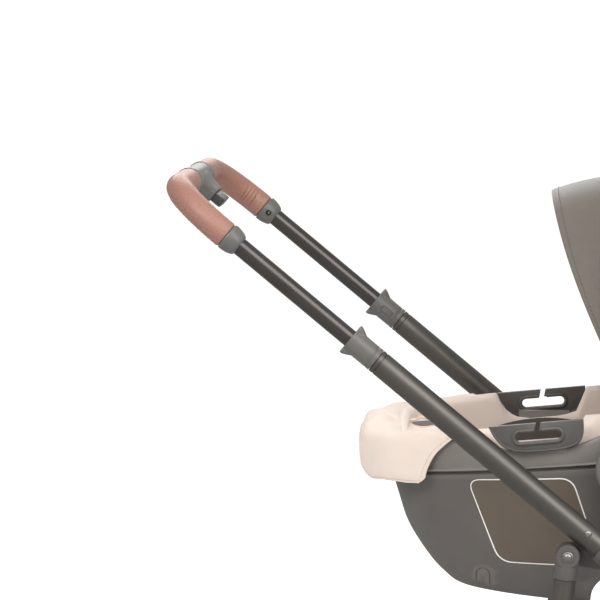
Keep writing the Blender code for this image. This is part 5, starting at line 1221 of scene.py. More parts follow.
def cover_stations(turn):
    """The foot cover's section at a turn: (out from the rim, height), hem to inner edge."""
    middle = smooth_step(-abs(turn), -radians(44), -radians(8))
    valley = smooth_step(-abs(turn), -radians(46), -radians(2))
    x, _ = rim_plan(turn)
    at_foot = smooth_step(-abs(turn), -radians(50), -radians(8))
    puff = COVER_SIDE_PUFF + (COVER_PUFF - COVER_SIDE_PUFF) * at_foot
    top = ledge_height(x) + LINER_RISE + 0.0045 - 0.006 * valley
    top -= 0.015 * smooth_step(-turn, radians(2), radians(28))
    top -= 0.0055 * smooth_step(turn, radians(8), radians(34))
    low, reach = HEM_HEIGHT, mix(0.024, 0.088, middle)
    rise = top - low
    return [
        (puff * 0.76, low), (puff * 0.94, low + 0.14 * rise), (puff, low + 0.36 * rise),
        (puff * 0.99, low + 0.6 * rise), (puff * 0.9, low + 0.82 * rise), (puff * 0.64, low + 0.95 * rise),
        (puff * 0.14 - 0.001, top), (-reach * 0.3, top - 0.0015 - 0.013 * valley),
        (-reach * 0.64, top - 0.002 - 0.0165 * valley), (-reach, top - 0.01 - 0.009 * valley)]


def cover_point(turn, v):
    """A point of the foot cover with its folds and its gathers."""
    away, z = through(cover_stations(turn), v * 9)
    x, y = rim_plan(turn)
    c, s = -cos(turn), sin(turn)
    out = Vector((c * SHELL_HALF_WIDTH, s * (SHELL_HEAD - SHELL_FOOT) / 2, 0.0)).normalized()
    point = Vector((x, -y, z)) + out * away
    # Folds fan out from the slit, gathers rise from the elastic in the hem
    from_slit = Vector((point.x - (SLIT_FROM - 0.004), point.y, (point.z - 0.697) * 0.8))
    angle = atan2(from_slit.y, -from_slit.x)
    far = from_slit.length
    fan = cos(angle * 8.5 + 0.7) * 0.0019 + cos(angle * 15.0 + 2.1) * 0.0009
    fan *= smooth_step(far, 0.004, 0.03) * exp(-far / 0.085) * 1.9
    gather = cos(turn * 46.0 + 3.0 * noise.noise(point * 20.0)) * 0.0003 * exp(-v * 7.0)
    crumple = noise.noise(point * 24.0) * 0.0022 + noise.noise(point * 62.0) * 0.0006
    crumple *= smooth_step(v, 0.0, 0.25)
    lift = Vector((c * 0.5, s * 0.6, 0.75)).normalized()
    # The strap holds the slit's left lip up
    parted = 0.001 + 0.03 * smooth_step(SLIT_FROM - point.x, -0.002, 0.02)
    lip = smooth_step(point.x, SLIT_FROM - 0.026, SLIT_FROM + 0.016) * smooth_step(point.y, -parted, parted)
    lip *= 0.009 * (v > 0.5) * exp(-(point.y / 0.03) ** 2)
    lip *= smooth_step(-point.x, -SLIT_TO - 0.02, -SLIT_TO + 0.004)
    return point + lift * (fan + gather + crumple) + Z_AXIS * lip


def cover_turn(u, v):
    slant = through([(0.0,), (1.0,), (5.0,), (11.0,), (14.0,), (15.2,), (15.6,)], min(v, 0.999) * 6)[0]
    limit = COVER_HEM_TURN + radians(slant - 2.6 * (1 - smooth_step(v, 0.0, 0.11)))
    return limit * (2 * u - 1)


def make_foot_cover():
    """The quilted cover over the foot end: a bulging hood, gathered by its hem and slit for the strap."""
    def surface(u, v):
        turn = cover_turn(u, v)
        point = cover_point(turn, v)
        edge = min(u, 1 - u) * 0.52
        hem = v * 0.16
        groove = exp(-((hem - sizes().hem) / 0.0011) ** 2) + exp(-((edge - sizes().hem) / 0.0011) ** 2)
        middle = Vector((-0.19, 0.0, 0.67))
        return point + (middle - point).normalized() * 0.0009 * min(groove, 1.0)
    cover = formed("foot_cover_hood", 260, 104, surface, (0.55, 0.17), 0.0)
    thickened(cover, 0.0026)
    eye = [(mix(SLIT_FROM, SLIT_TO, 0.5 - 0.5 * cos(pi * i / 16)), 0.0052 * sin(pi * i / 16))
           for i in range(17)]
    eye += [(x, -y) for x, y in eye[-2:0:-1]]
    cut(cover, slab("slit", eye[::-1], Vector((0, 0, 0.7)), X_AXIS, Y_AXIS, 0.03))
    outward(cover)
    dress(cover, "beige", "carrier", ["foot_cover"], 60)

    def stitched(places, ahead):
        """Stitches through (u, v) places; ahead says how far they lean out lengthwise."""
        line, out = [], []
        for u, v in places:
            turn = cover_turn(u, v)
            away = Vector((-cos(turn) * ahead, sin(turn), 0.1))
            line.append(cover_point(turn, v) + away.normalized() * 0.0013)
            out.append((away.x, away.y, 0.0))
        return stitches("cover_stitches", line, out)
    seams = [stitched([(0.018 + 0.964 * i / 240, sizes().hem / 0.16) for i in range(241)], 1.0)]
    seams += [stitched([(end, 0.05 + 0.6 * i / 80) for i in range(81)], 0.6) for end in (0.018, 0.982)]
    dress(joined("cover_stitches", *seams), "thread", "carrier")

    # The bound slit and the adjuster strap that comes up through it
    def top_of_cover(x, y):
        hit = cover.ray_cast(Vector((x, y, 0.8)), -Z_AXIS)
        return hit[1].z if hit[0] else 0.698
    ring = [Vector((x, y * 1.17, top_of_cover(x, y * 1.35) + 0.0002)) for x, y in eye]
    dress(tube_along("slit_binding", ring + ring[:2], 0.0012, 8), "thread", "carrier")
    strap = []
    for i, rise in enumerate((-0.01, -0.002, 0.0015, 0.0036, 0.0046, 0.0046, 0.0036, 0.001, -0.006)):
        x = mix(SLIT_FROM - 0.002, SLIT_TO + 0.003, i / 8)
        strap.append(Vector((x, 0.0, top_of_cover(x, -0.008) + rise)))
    dress(strip_along("adjuster_strap", strap, 0.011, (0, -0.62, 0.78)), "webbing", "carrier")


def make_harness():
    """Webbing straps over the seat, meeting in the buckle with its red button."""
    half, beside = 0.01225, 0.0125
    liner = bpy.data.objects["quilted_liner"]

    def on_seat(x, y):
        best = max(liner.ray_cast(Vector((x + PIVOT.x + a, y + b, 0.9)), -Z_AXIS)[1].z
                   for a in (-0.012, 0.0, 0.012) for b in (-beside, 0.0, beside))
        return Vector((x + PIVOT.x, y, best + 0.0022))
    pieces = [strip_along("crotch_strap", [on_seat(x, 0.0) for x in (-0.1, -0.085, -0.07, -0.055, -0.04)],
                          2 * half, Z_AXIS)]
    for side in (-1, 1):
        stations = [(-0.026, 0.01), (0.0, 0.018), (0.02, 0.026), (0.045, 0.033), (0.07, 0.04),
                    (0.095, 0.044), (0.12, 0.047), (0.145, 0.049), (0.17, 0.05), (0.19, 0.05)]
        route = [on_seat(x, side * y) for x, y in stations]
        pieces.append(strip_along("shoulder_strap", route, 2 * half, Z_AXIS))
    dress(joined("harness_straps", *pieces), "webbing", "carrier", ["harness"], 40)
    dressed_node("buckle", "black_plastic", 0.0016)
    dressed_node("buckle_button", "release", 0.001)


# Chassis

TONGUE_HALF = 0.008
CHEEK_THICKNESS = 0.009
CHEEK_RADIUS = 0.03
HUB_INBOARD = 0.2185
SOCKET_LENGTH = 0.045
LEG_CAP_RADIUS = 0.0145
LEG_CAP_DROP = 0.029
FRONT_LEG_END = 0.5
CROSS_TUBE_STATION = 0.396
BASKET_TOP = 0.41
BASKET_BOTTOM = 0.255
BASKET_WIRE = 0.005
PEDAL_HALF_WIDTH = 0.055
REAR_TRACK = 0.28           # centre plane of each rear wheel
LEG_INSIDE = TRACK - 0.0152


def cross_turned(name, place, side, near, profile, sides=56):
    """A turned piece that runs outwards across the stroller from |y| = near."""
    return turned(name, Vector((place.x, side * near, place.z)), (0, side, 0), profile, sides)


def along_tube_outline(stations):
    """Side-view outline from (down the tube, above the tube) stations."""
    points = [on_tube(down, 1, above) for down, above in stations]
    return [(p.x, p.z) for p in points]


def make_upper_hub(side, which):
    """The turning half of a fold hinge: a plug in the outer tube, a collar and the tongue with its eye."""
    collar = turned("collar", on_tube(-HUB_COLLAR + GAP, side), DOWN_TUBE, [
        (-0.02, 0.0118), (0.0, 0.0122), (0.0002, 0.0162), (0.0012, 0.017), (0.015, 0.017), (0.0172, 0.0162),
        (0.018, 0.013)], 56)
    low, high = side * TRACK - TONGUE_HALF, side * TRACK + TONGUE_HALF
    web = plate("tongue", along_tube_outline([(-0.044, -0.0145), (-0.006, -0.0145), (-0.006, 0.015),
                                              (-0.044, 0.0145)]), low, high, 0.0012)
    eye = turned("eye", Vector((PIVOT.x, low, PIVOT.z)), Y_AXIS,
                 mirrored([(0.0, 0.0252), (0.0008, 0.026)], 2 * TONGUE_HALF), 64)
    hub = joined(f"upper_fold_hub_{which}", collar, web, eye)
    dress(hub, "black_plastic", "push_bar", [f"upper_hub_{which}"])


def make_lower_hub(side, which):
    """The fixed half of a fold hinge: two cheeks, the front leg's socket and the gusset to the rear leg."""
    inner, outer = HUB_INBOARD, TRACK + TONGUE_HALF + 0.0005 + CHEEK_THICKNESS
    socket_end = HUB_COLLAR + SOCKET_LENGTH
    pieces = [turned("leg_socket", on_tube(0.034, side), DOWN_TUBE, [
        (0.0, 0.015), (0.0, 0.0165), (0.0015, 0.018), (socket_end - 0.049, 0.018),
        (socket_end - 0.0486, 0.0174), (socket_end - 0.0474, 0.0174), (socket_end - 0.047, 0.018),
        (socket_end - 0.0355, 0.018),
        (socket_end - 0.0342, 0.017), (socket_end - 0.034, 0.0151)], 56)]
    for near, far in ((inner, TRACK - TONGUE_HALF - 0.0005), (TRACK + TONGUE_HALF + 0.0005, outer)):
        thick = far - near
        pieces.append(cross_turned("cheek", PIVOT, side, near, [
            (0.0, CHEEK_RADIUS - 0.0014), (0.0014, CHEEK_RADIUS), (thick - 0.0018, CHEEK_RADIUS),
            (thick, CHEEK_RADIUS - 0.002), (thick, 0.019), (thick - 0.0006, 0.0184),
            (thick - 0.0006, 0.011)], 72))
        pieces.append(plate("cheek_arm", along_tube_outline([
            (0.0, -0.0165), (0.046, -0.0165), (0.046, 0.0145), (0.0, 0.02)]),
            side * (near + 0.0004), side * (far - 0.0004), 0.0014))
    gusset = link_outline((PIVOT.x, PIVOT.z), 0.024, (LEG_PIVOT.x, LEG_PIVOT.z), 0.0135, 24)
    pieces.append(plate("gusset", gusset, side * (inner + 0.0001), side * (inner + 0.0037), 0.0008))
    hub = joined(f"lower_fold_hub_{which}", *pieces)
    dress(hub, "black_plastic", "front_frame", [f"lower_hub_{which}"])
    reach = TRACK + LEG_CAP_RADIUS + 0.0004 - inner
    pin = cross_turned(f"leg_rivet_{which}", LEG_PIVOT, side, inner + 0.002, [
        (0.0, 0.004), (reach - 0.002, 0.004), (reach - 0.002, 0.0066),
        (reach - 0.0014, 0.0066), (reach - 0.001, 0.0054), (reach + 0.0002, 0.0047),
        (reach + 0.0011, 0.0032), (reach + 0.0014, 0.0008)], 40)
    dress(pin, "chrome", "front_frame")
    length = outer - inner
    bolt = cross_turned(f"fold_bolt_{which}", PIVOT, side, inner + GAP, [
        (-0.0006, 0.0042), (0.0, 0.005), (length, 0.005), (length, 0.0085), (length + 0.0009, 0.0085),
        (length + 0.0018, 0.0066), (length + 0.0022, 0.003), (length + 0.0022, 0.0004)], 40)
    dress(bolt, "chrome", "front_frame", [f"fold_pin_{which}"])


def make_front_leg(side, which):
    """A front leg's tube, from the fold hub down to the caster."""
    start, length = on_tube(HUB_COLLAR + GAP, side), FRONT_LEG_END - HUB_COLLAR - GAP
    leg = turned(f"front_leg_tube_{which}", start, DOWN_TUBE, mirrored([
        (0.0, 0.003), (0.0, 0.0142), (0.0006, 0.015), (length / 2, 0.015)], length), 64)
    dress(leg, "satin_tube", "front_frame", [f"front_leg_{which}"], 30)


def make_caster(side, which):
    """A front wheel's knuckle on the leg, and the fork that swivels under it."""
    dressed_node(f"caster_socket_{which}", "black_plastic", 0.001)
    bottom, radius, half_width = 0.1996, FRONT_AXLE.z, 0.02
    arm_in, arm_out = half_width + 0.003, half_width + 0.0095
    track = side * TRACK
    pieces = [turned("stem", (SWIVEL.x, track, bottom - 0.004), Z_AXIS, [
        (0.0, 0.006), (0.0372, 0.006), (0.038, 0.0052), (0.038, 0.0005)], 32)]
    top = (SWIVEL.x - 0.002, bottom - 0.0135)
    for near, far in ((-arm_out, -arm_in), (arm_in, arm_out)):
        pieces.append(plate("fork_arm", link_outline((FRONT_AXLE.x, radius), 0.015, top, 0.0135, 20),
                            track + near, track + far, 0.0014))
    pieces.append(slab("crown", rounded_outline(oblong(-0.021, 0.021, -arm_out, arm_out), [0.012] * 4, 10),
                       Vector((SWIVEL.x - 0.003, track, bottom - 0.005)), X_AXIS, Y_AXIS, 0.0049, 0.0016))
    fork = joined(f"caster_fork_body_{which}", *pieces)
    dress(fork, "black_plastic", f"caster_{which}", [f"caster_fork_{which}"])
    axle = turned(f"caster_axle_{which}", (FRONT_AXLE.x, track - arm_out, radius), Y_AXIS, mirrored([
        (-0.002, 0.003), (-0.0018, 0.0062), (-0.0008, 0.0075), (0.0006, 0.0075),
        (0.0006, 0.004)], 2 * arm_out), 32)
    dress(axle, "chrome", f"caster_{which}")


def make_wheel(kind, side, which, axle, place, radius, width, depth, hub, bore):
    """A wheel: foam tyre with a grooved tread, and a rim with five spokes round its hub."""
    body = f"{kind}_wheel_{which}"
    start, half, seat = Vector((axle.x, side * place - width / 2, axle.z)), width / 2, radius - depth
    section = [
        (0.0032, seat + GAP), (0.0016, seat + 0.2 * depth), (0.0002, seat + 0.42 * depth),
        (0.0006, seat + 0.6 * depth), (0.0014, seat + 0.66 * depth), (0.0016, seat + 0.8 * depth),
        (0.0045, seat + 0.93 * depth), (0.3 * width, radius - 0.0004)]
    for groove in (0.36, 0.5, 0.64):
        section += [((groove - 0.028) * width, radius), ((groove - 0.018) * width, radius - 0.0016),
                    ((groove + 0.018) * width, radius - 0.0016), ((groove + 0.028) * width, radius)]
    section += [(width - along, reach) for along, reach in reversed(section[:8])]
    section += [(half + 0.006, seat - 0.0013), (half - 0.006, seat - 0.0013)]
    tyre = turned(f"{kind}_tyre_foam_{which}", start, Y_AXIS, section, 112, ring=True)
    dress(tyre, "tyre", body, [f"{kind}_tyre_{which}"], 34)
    lip = 0.004
    near_half = [
        (half, seat - 0.0072), (lip + 0.0016, seat - 0.0056), (lip, seat - 0.0044), (lip, seat - 0.0012),
        (lip + 0.0004, seat - 0.0004), (lip + 0.002, seat - 0.0001), (half - 0.006, seat - 0.0016)]
    rim = turned("rim", start, Y_AXIS, mirrored(near_half, width)[1:], 112, ring=True)
    pieces = [rim, turned("hub", start, Y_AXIS, mirrored([
        (0.0, bore + 0.0004), (0.0, hub - 0.003), (0.0006, hub - 0.0016), (0.0022, hub)], width), 56)]
    for spoke in range(5):
        angle = 2 * pi * spoke / 5 + pi / 2
        out = Vector((cos(angle), 0, sin(angle)))
        across = out.cross(Y_AXIS)
        inner, outer = hub - 0.003, seat - 0.0058
        outline = []
        for i in range(13):
            t = i / 12
            spoke_half = mix(0.0092, 0.0058, sin(pi * min(t * 1.5, 1) / 2)) + 0.0042 * t ** 5
            outline.append((spoke_half, mix(inner, outer, t)))
        outline += [(-x, z) for x, z in reversed(outline)]
        middle = start + Y_AXIS * half
        pieces += [slab("spoke", outline, middle, across, out, half - 0.0098, 0.0024, 3),
                   slab("rib", oblong(-0.0016, 0.0016, inner, outer), middle, across, out,
                        half - 0.0086, 0.0007)]
    dress(joined(f"{kind}_rim_spoked_{which}", *pieces), "wheel", body, [f"{kind}_rim_{which}"], 34)
    if kind == "rear":
        cap = cross_turned(f"axle_cap_{which}", REAR_AXLE, side, place + half + 0.0004, [
            (0.0, 0.009), (0.0012, 0.0092), (0.0024, 0.008), (0.0028, 0.006), (0.0028, 0.0004)], 40)
        dress(cap, "smooth_plastic", "rear_frame", slot="black_plastic")


def make_rear_frame():
    """The rear legs with their caps, the axle in its brackets, and the brake pedal."""
    axle, pivot = Vector((REAR_AXLE.x, 0, REAR_AXLE.z)), Vector((LEG_PIVOT.x, 0, LEG_PIVOT.z))
    down, length = (axle - pivot).normalized(), (axle - pivot).length
    for side, which in SIDES:
        shift = Y_AXIS * side * TRACK
        leg_length = length - 0.023 - LEG_CAP_DROP
        leg = turned(f"rear_leg_tube_{which}", pivot + shift + down * LEG_CAP_DROP, down, mirrored([
            (0.0, 0.003), (0.0, 0.0134), (0.0005, 0.014), (leg_length / 2, 0.014)], leg_length), 64)
        dress(leg, "satin_tube", "rear_frame", [f"rear_leg_{which}"], 30)
        barrel = turned("barrel", pivot + shift, down, [
            (0.0, 0.0145), (LEG_CAP_DROP - 0.006, 0.0145), (LEG_CAP_DROP - 0.002, 0.0145),
            (LEG_CAP_DROP - 0.0004, 0.0141), (LEG_CAP_DROP - GAP, 0.0135)], 56)
        eye = cross_turned("eye", LEG_PIVOT, side, TRACK - 0.0141, [
            (0.0, 0.0128), (0.001, 0.014), (0.003, 0.0145), (0.0252, 0.0145), (0.0272, 0.014),
            (0.0282, 0.0128), (0.0282, 0.0044)], 56)
        cap = joined(f"leg_cap_body_{which}", barrel, eye)
        dress(cap, "black_plastic", "rear_frame", [f"leg_cap_{which}"])
        bracket = cross_turned("bracket", REAR_AXLE, side, TRACK - 0.0165,
                               mirrored([(0.0, 0.006), (0.0, 0.0172), (0.0016, 0.019)], 0.033), 64)
        socket = turned("socket", axle + shift - down * 0.06, down, [
            (0.0, 0.0142), (0.0, 0.0156), (0.0012, 0.0166), (0.04, 0.0166), (0.06, 0.0163)], 56)
        dress(joined(f"axle_bracket_body_{which}", bracket, socket), "black_plastic", "rear_frame",
              [f"axle_bracket_{which}"])
    half, end = TRACK - 0.0168, REAR_TRACK + 0.0225 + 0.0004
    bar = turned("rear_axle_bar", axle, Y_AXIS, mirrored([
        (-end, 0.0044), (-end + 0.0006, 0.005), (-half, 0.005), (-half, 0.011)], 0.0), 56)
    dress(bar, "satin_tube", "rear_frame", ["rear_axle"], 30)
    barrel = turned("barrel", axle - Y_AXIS * PEDAL_HALF_WIDTH, Y_AXIS, mirrored([
        (0.0, 0.0116), (0.0, 0.014), (0.0012, 0.015)], 2 * PEDAL_HALF_WIDTH), 56)
    tread = [(-0.006, 0.0, 0.051, 0.006), (-0.026, 0.003, 0.047, 0.0045), (-0.045, 0.001, 0.055, 0.005),
             (-0.06, -0.004, 0.055, 0.0045)]

    def surface(u, v):
        x, z, half_y, thick = through(tread, min(max((v - 0.08) / 0.84, 0.0), 1.0) * 3)
        end_scale = max(min(v / 0.08, (1 - v) / 0.08, 1.0), 0.0)
        c, s = around(u)
        y = half_y * squared(c, 0.3)
        rise = thick * squared(s, 0.75)
        ribs = 0.0007 * max(cos(2 * pi * x / 0.0058), 0.0) if s > 0.3 else 0.0
        ribs *= smooth_step(-x, 0.034, 0.038)
        return axle + Vector((x, y * end_scale, z + (rise + ribs) * end_scale))
    blade = outward(formed("blade", 96, 60, surface, (0.24, 0.06), 1e-6))
    dress(joined("brake_pedal_body", barrel, blade), "black_plastic", "brake", ["brake_pedal"])


# (rear, front, half width, corner radius), and the same under a height
BASKET_MOUTH = (-0.105, 0.205, 0.198, 0.045)
BASKET_LEVELS = ((BASKET_BOTTOM, -0.092, 0.15, 0.165, 0.05),
                 (BASKET_BOTTOM + 0.012, -0.098, 0.158, 0.174, 0.055),
                 (0.3298, -0.103, 0.186, 0.19, 0.052), (0.4047, *BASKET_MOUTH))


def basket_point(u, rear, front, half, corner, inset=0.0):
    """A point of the basket's rounded plan; u goes once round it."""
    middle, reach, wide = (rear + front) / 2, (front - rear) / 2 - inset, half - inset
    corner -= inset
    spans = [2 * (reach - corner), pi * corner / 2, 2 * (wide - corner), pi * corner / 2] * 2
    travel = (u % 1.0) * sum(spans)
    x0, y0 = reach - corner, wide - corner
    for i, span in enumerate(spans):
        if travel <= span or i == 7:
            break
        travel -= span
    quarter = i // 2
    turn = pi / 2 * quarter
    if i % 2 == 0:
        local = (-x0 if quarter % 2 == 0 else -y0) + travel
        base = Vector((local, -(wide if quarter % 2 == 0 else reach), 0))
    else:
        angle = -pi / 2 + travel / corner
        base = Vector((x0 if quarter % 2 == 0 else y0, -(y0 if quarter % 2 == 0 else x0), 0))
        base += Vector((cos(angle), sin(angle), 0)) * corner
    x, y = base.x * cos(turn) - base.y * sin(turn), base.x * sin(turn) + base.y * cos(turn)
    return Vector((PIVOT.x + middle + x, y, 0.0))


def basket_ring(name, count, height, radius, sides):
    """A round bar along the basket's mouth."""
    return tube_along(name, [basket_point(i % count / count, *BASKET_MOUTH) + Z_AXIS * height
                             for i in range(count + 1)], radius, sides)


def make_basket():
    """The storage basket: cloth hung from its wire, with a bound upper edge and a stiffened floor."""
    leg_x = on_tube((HINGE_FOOT.z - BASKET_TOP) / UP_TUBE.z, 1).x
    pieces = [basket_ring("wire", 160, BASKET_TOP, BASKET_WIRE, 14)]
    for side in (-1, 1):
        pieces.append(cross_turned("stub", Vector((leg_x, 0, BASKET_TOP)), side, 0.197, [
            (0.0, 0.0045), (LEG_INSIDE - 0.197, 0.0045)], 28))
    dress(joined("basket_wire", *pieces), "satin_tube", "front_frame", ["basket_frame"], 40)

    def surface(u, v):
        if v < 0.3:
            z, *plan = BASKET_LEVELS[0]
            middle = Vector((PIVOT.x + (plan[0] + plan[1]) / 2, 0, 0))
            point = middle.lerp(basket_point(u, *plan), v / 0.3) + Z_AXIS * (z + 0.0018)
            return point + Z_AXIS * (0.001 * noise.noise(point * 16.0))
        share = (v - 0.3) / 0.7
        z, *plan = through(BASKET_LEVELS, share * 3)
        point = basket_point(u, *plan, 0.0016) + Z_AXIS * z
        middle = Vector((PIVOT.x + 0.04, 0, z))
        sag = (0.003 * sin(2 * pi * u * 2) ** 2 + 0.002 * noise.noise(point * 14.0)) * sin(pi * share)
        gather = 0.0008 * cos(u * 2 * pi * 84) * smooth_step(share, 0.72, 0.95)
        return point + (middle - point).normalized() * (sag + gather)
    cloth = formed("basket_cloth", 240, 72, surface, (1.2, 0.42), 1e-5)
    thickened(cloth, 0.0016)
    dress(cloth, "basket", "front_frame", ["storage_basket"], 60)
    dress(basket_ring("basket_binding", 200, BASKET_TOP - 0.0065, 0.0024, 10), "binding", "front_frame")


def make_middle():
    """The cross tube between the front legs, and the carrier's adapters."""
    cross = on_tube(CROSS_TUBE_STATION, 1)
    tube = turned("cross_bar", (cross.x, -LEG_INSIDE, cross.z), Y_AXIS,
                  mirrored([(0.0, 0.0093), (0.0006, 0.01)], 2 * LEG_INSIDE), 56)
    dress(tube, "satin_tube", "front_frame", ["cross_tube"], 30)
    for side, which in SIDES:
        dressed_node(f"adapter_{which}", "black_plastic", 0.0014)


# Canopy and carry handle

CANOPY_RADIUS = 0.325
CANOPY_HALF_WIDTH = 0.186
CANOPY_STEP = 0.0042
CANOPY_WALL = 0.003
CANOPY_FRONT = 112.0
CANOPY_TURN = 27.5
CANOPY_SPAN = 31.5
CANOPY_REAR_HEM = 9.0       # the last segment hangs this much further, down to the lining
CANOPY_BULGE = 2.6
HUB_INNER = 0.19
HUB_OUTER = 0.206
CARRY_REACH = 0.3765
CARRY_BEND = 0.07


def canopy_point(u, degrees, inset):
    """A point of the canopy's squared-off hoop at an angle about its pivot; u runs from left to right."""
    radius, half = CANOPY_RADIUS - inset, CANOPY_HALF_WIDTH - inset
    first = (1.0 - (0.009 / radius) ** 2.5) ** 0.4
    turn_at = atan2((0.009 / radius) ** 1.25, first ** 1.25)
    turn = turn_at + (pi - 2 * turn_at) * u
    c, s = cos(turn), sin(turn)
    # The free front edge bows forward between its bow's ends
    bulge = CANOPY_BULGE * sin(pi * s ** 0.8) * smooth_step(degrees, CANOPY_FRONT - 14, CANOPY_FRONT)
    reach, angle = radius * s ** 0.8, radians(degrees + bulge)
    return Vector((CANOPY_PIVOT.x + reach * cos(angle), half * squared(c, 0.8),
                   CANOPY_PIVOT.z + reach * sin(angle)))


def make_canopy_segment(node, body, number):
    """One segment of the canopy: cloth stretched over a bow, with a bound front edge and its pivot ears."""
    inset, front = number * CANOPY_STEP, CANOPY_FRONT - number * CANOPY_TURN
    middle = Vector((CANOPY_PIVOT.x, 0.0, CANOPY_PIVOT.z))
    span = CANOPY_SPAN + (CANOPY_REAR_HEM if number == 2 else 0.0)

    def surface(u, v):
        point = canopy_point(u, front - span * v, inset + 0.0004)
        taut = sin(pi * u) ** 0.5 * sin(pi * v)
        slack = (0.0014 + 0.0008 * noise.noise(point * 11.0 + Vector((number, 0, 0)))) * taut
        return point + (middle - point).normalized() * slack
    cloth = formed(f"{node}_cloth", 150, 56, surface, (0.95, 0.17), 0.0)
    thickened(cloth, 0.0013)
    dress(cloth, "canopy", body, [node], 60)
    bow = tube_along(f"{node}_bow", [canopy_point(i / 90, front - 0.55, inset + 0.0013) for i in range(91)],
                     0.0019, 12)
    dress(bow, "canopy", body)
    line = [canopy_point(0.06 + 0.88 * i / 200, front - 1.6, inset - 0.0004) for i in range(201)]
    out = [(p - middle).normalized() for p in line]
    dress(stitches(f"{node}_stitches", line, out), "canopy", body, slot=None)
    ears = []
    for side in (-1, 1):
        ears.append(cross_turned("ear", CANOPY_PIVOT, side, CANOPY_HALF_WIDTH - inset - CANOPY_WALL, [
            (0.0, 0.0112), (0.0006, 0.012), (0.0024, 0.012), (0.0031, 0.0112), (0.0031, 0.0054)], 40))
    dress(joined(f"{node}_ears", *ears), "black_plastic", body)


def make_carry_handle():
    """The carry handle: two hub discs and one flattened bow between them."""
    hub = Vector((HUB_CENTRE.x, 0.0, HUB_CENTRE.z))
    place, half = (HUB_INNER + HUB_OUTER) / 2, (HUB_OUTER - HUB_INNER) / 2
    path = [hub + Vector((0, place, 0.01 + 0.02 * i)) for i in range(14)]
    for i in range(25):
        angle = pi / 2 * i / 24
        path.append(hub + Vector((0, place - CARRY_BEND + CARRY_BEND * cos(angle),
                                  CARRY_REACH - CARRY_BEND + CARRY_BEND * sin(angle))))
    path += [Vector((p.x, -p.y, p.z)) for p in reversed(path)]
    rows = len(path) + 1

    def surface(u, v):
        row = round(v * rows)
        i = min(max(row - 1, 0), len(path) - 1)
        along = (path[min(i + 1, len(path) - 1)] - path[max(i - 1, 0)]).normalized()
        across = along.cross(X_AXIS).normalized()
        c, s = around(u)
        reach = 0.0 if row in (0, rows) else 1.0
        wide, thick = 0.0125, half - 0.0003
        grip = smooth_step(path[i].z, hub.z + CARRY_REACH - 0.004, hub.z + CARRY_REACH - 0.0005)
        return (path[i] + X_AXIS * (reach * wide * squared(c, 0.85))
                + across * (reach * (thick - 0.0005 * grip) * squared(s, 0.85)))
    pieces = [outward(formed("bow", 48, rows, surface, (0.07, 1.0)))]
    thick = HUB_OUTER - HUB_INNER
    for side in (-1, 1):
        pieces.append(cross_turned("disc", HUB_CENTRE, side, HUB_INNER, [
            (0.0, 0.006), (0.0, 0.0392), (0.0014, 0.041), (thick - 0.004, 0.041), (thick - 0.0012, 0.0396),
            (thick, 0.0372), (thick, 0.0312), (thick - 0.0007, 0.0306), (thick - 0.0007, 0.017),
            (thick - 0.0014, 0.015), (thick - 0.0078, 0.0146), (thick - 0.0078, 0.0058)], 96))
    dress(joined("carry_handle_bow", *pieces), "grey_plastic", "carry_handle", ["carry_handle"], 40)
    for side, which in SIDES:
        button = cross_turned(f"handle_button_cap_{which}", HUB_CENTRE, side, HUB_OUTER - 0.0035, [
            (0.0, 0.0136), (0.0004, 0.014), (0.0024, 0.014), (0.0033, 0.013), (0.0035, 0.011),
            (0.0031, 0.008), (0.0029, 0.0004)], 56)
        dress(button, "smooth_plastic", f"handle_button_{which}", [f"handle_button_{which}"])


# Stage

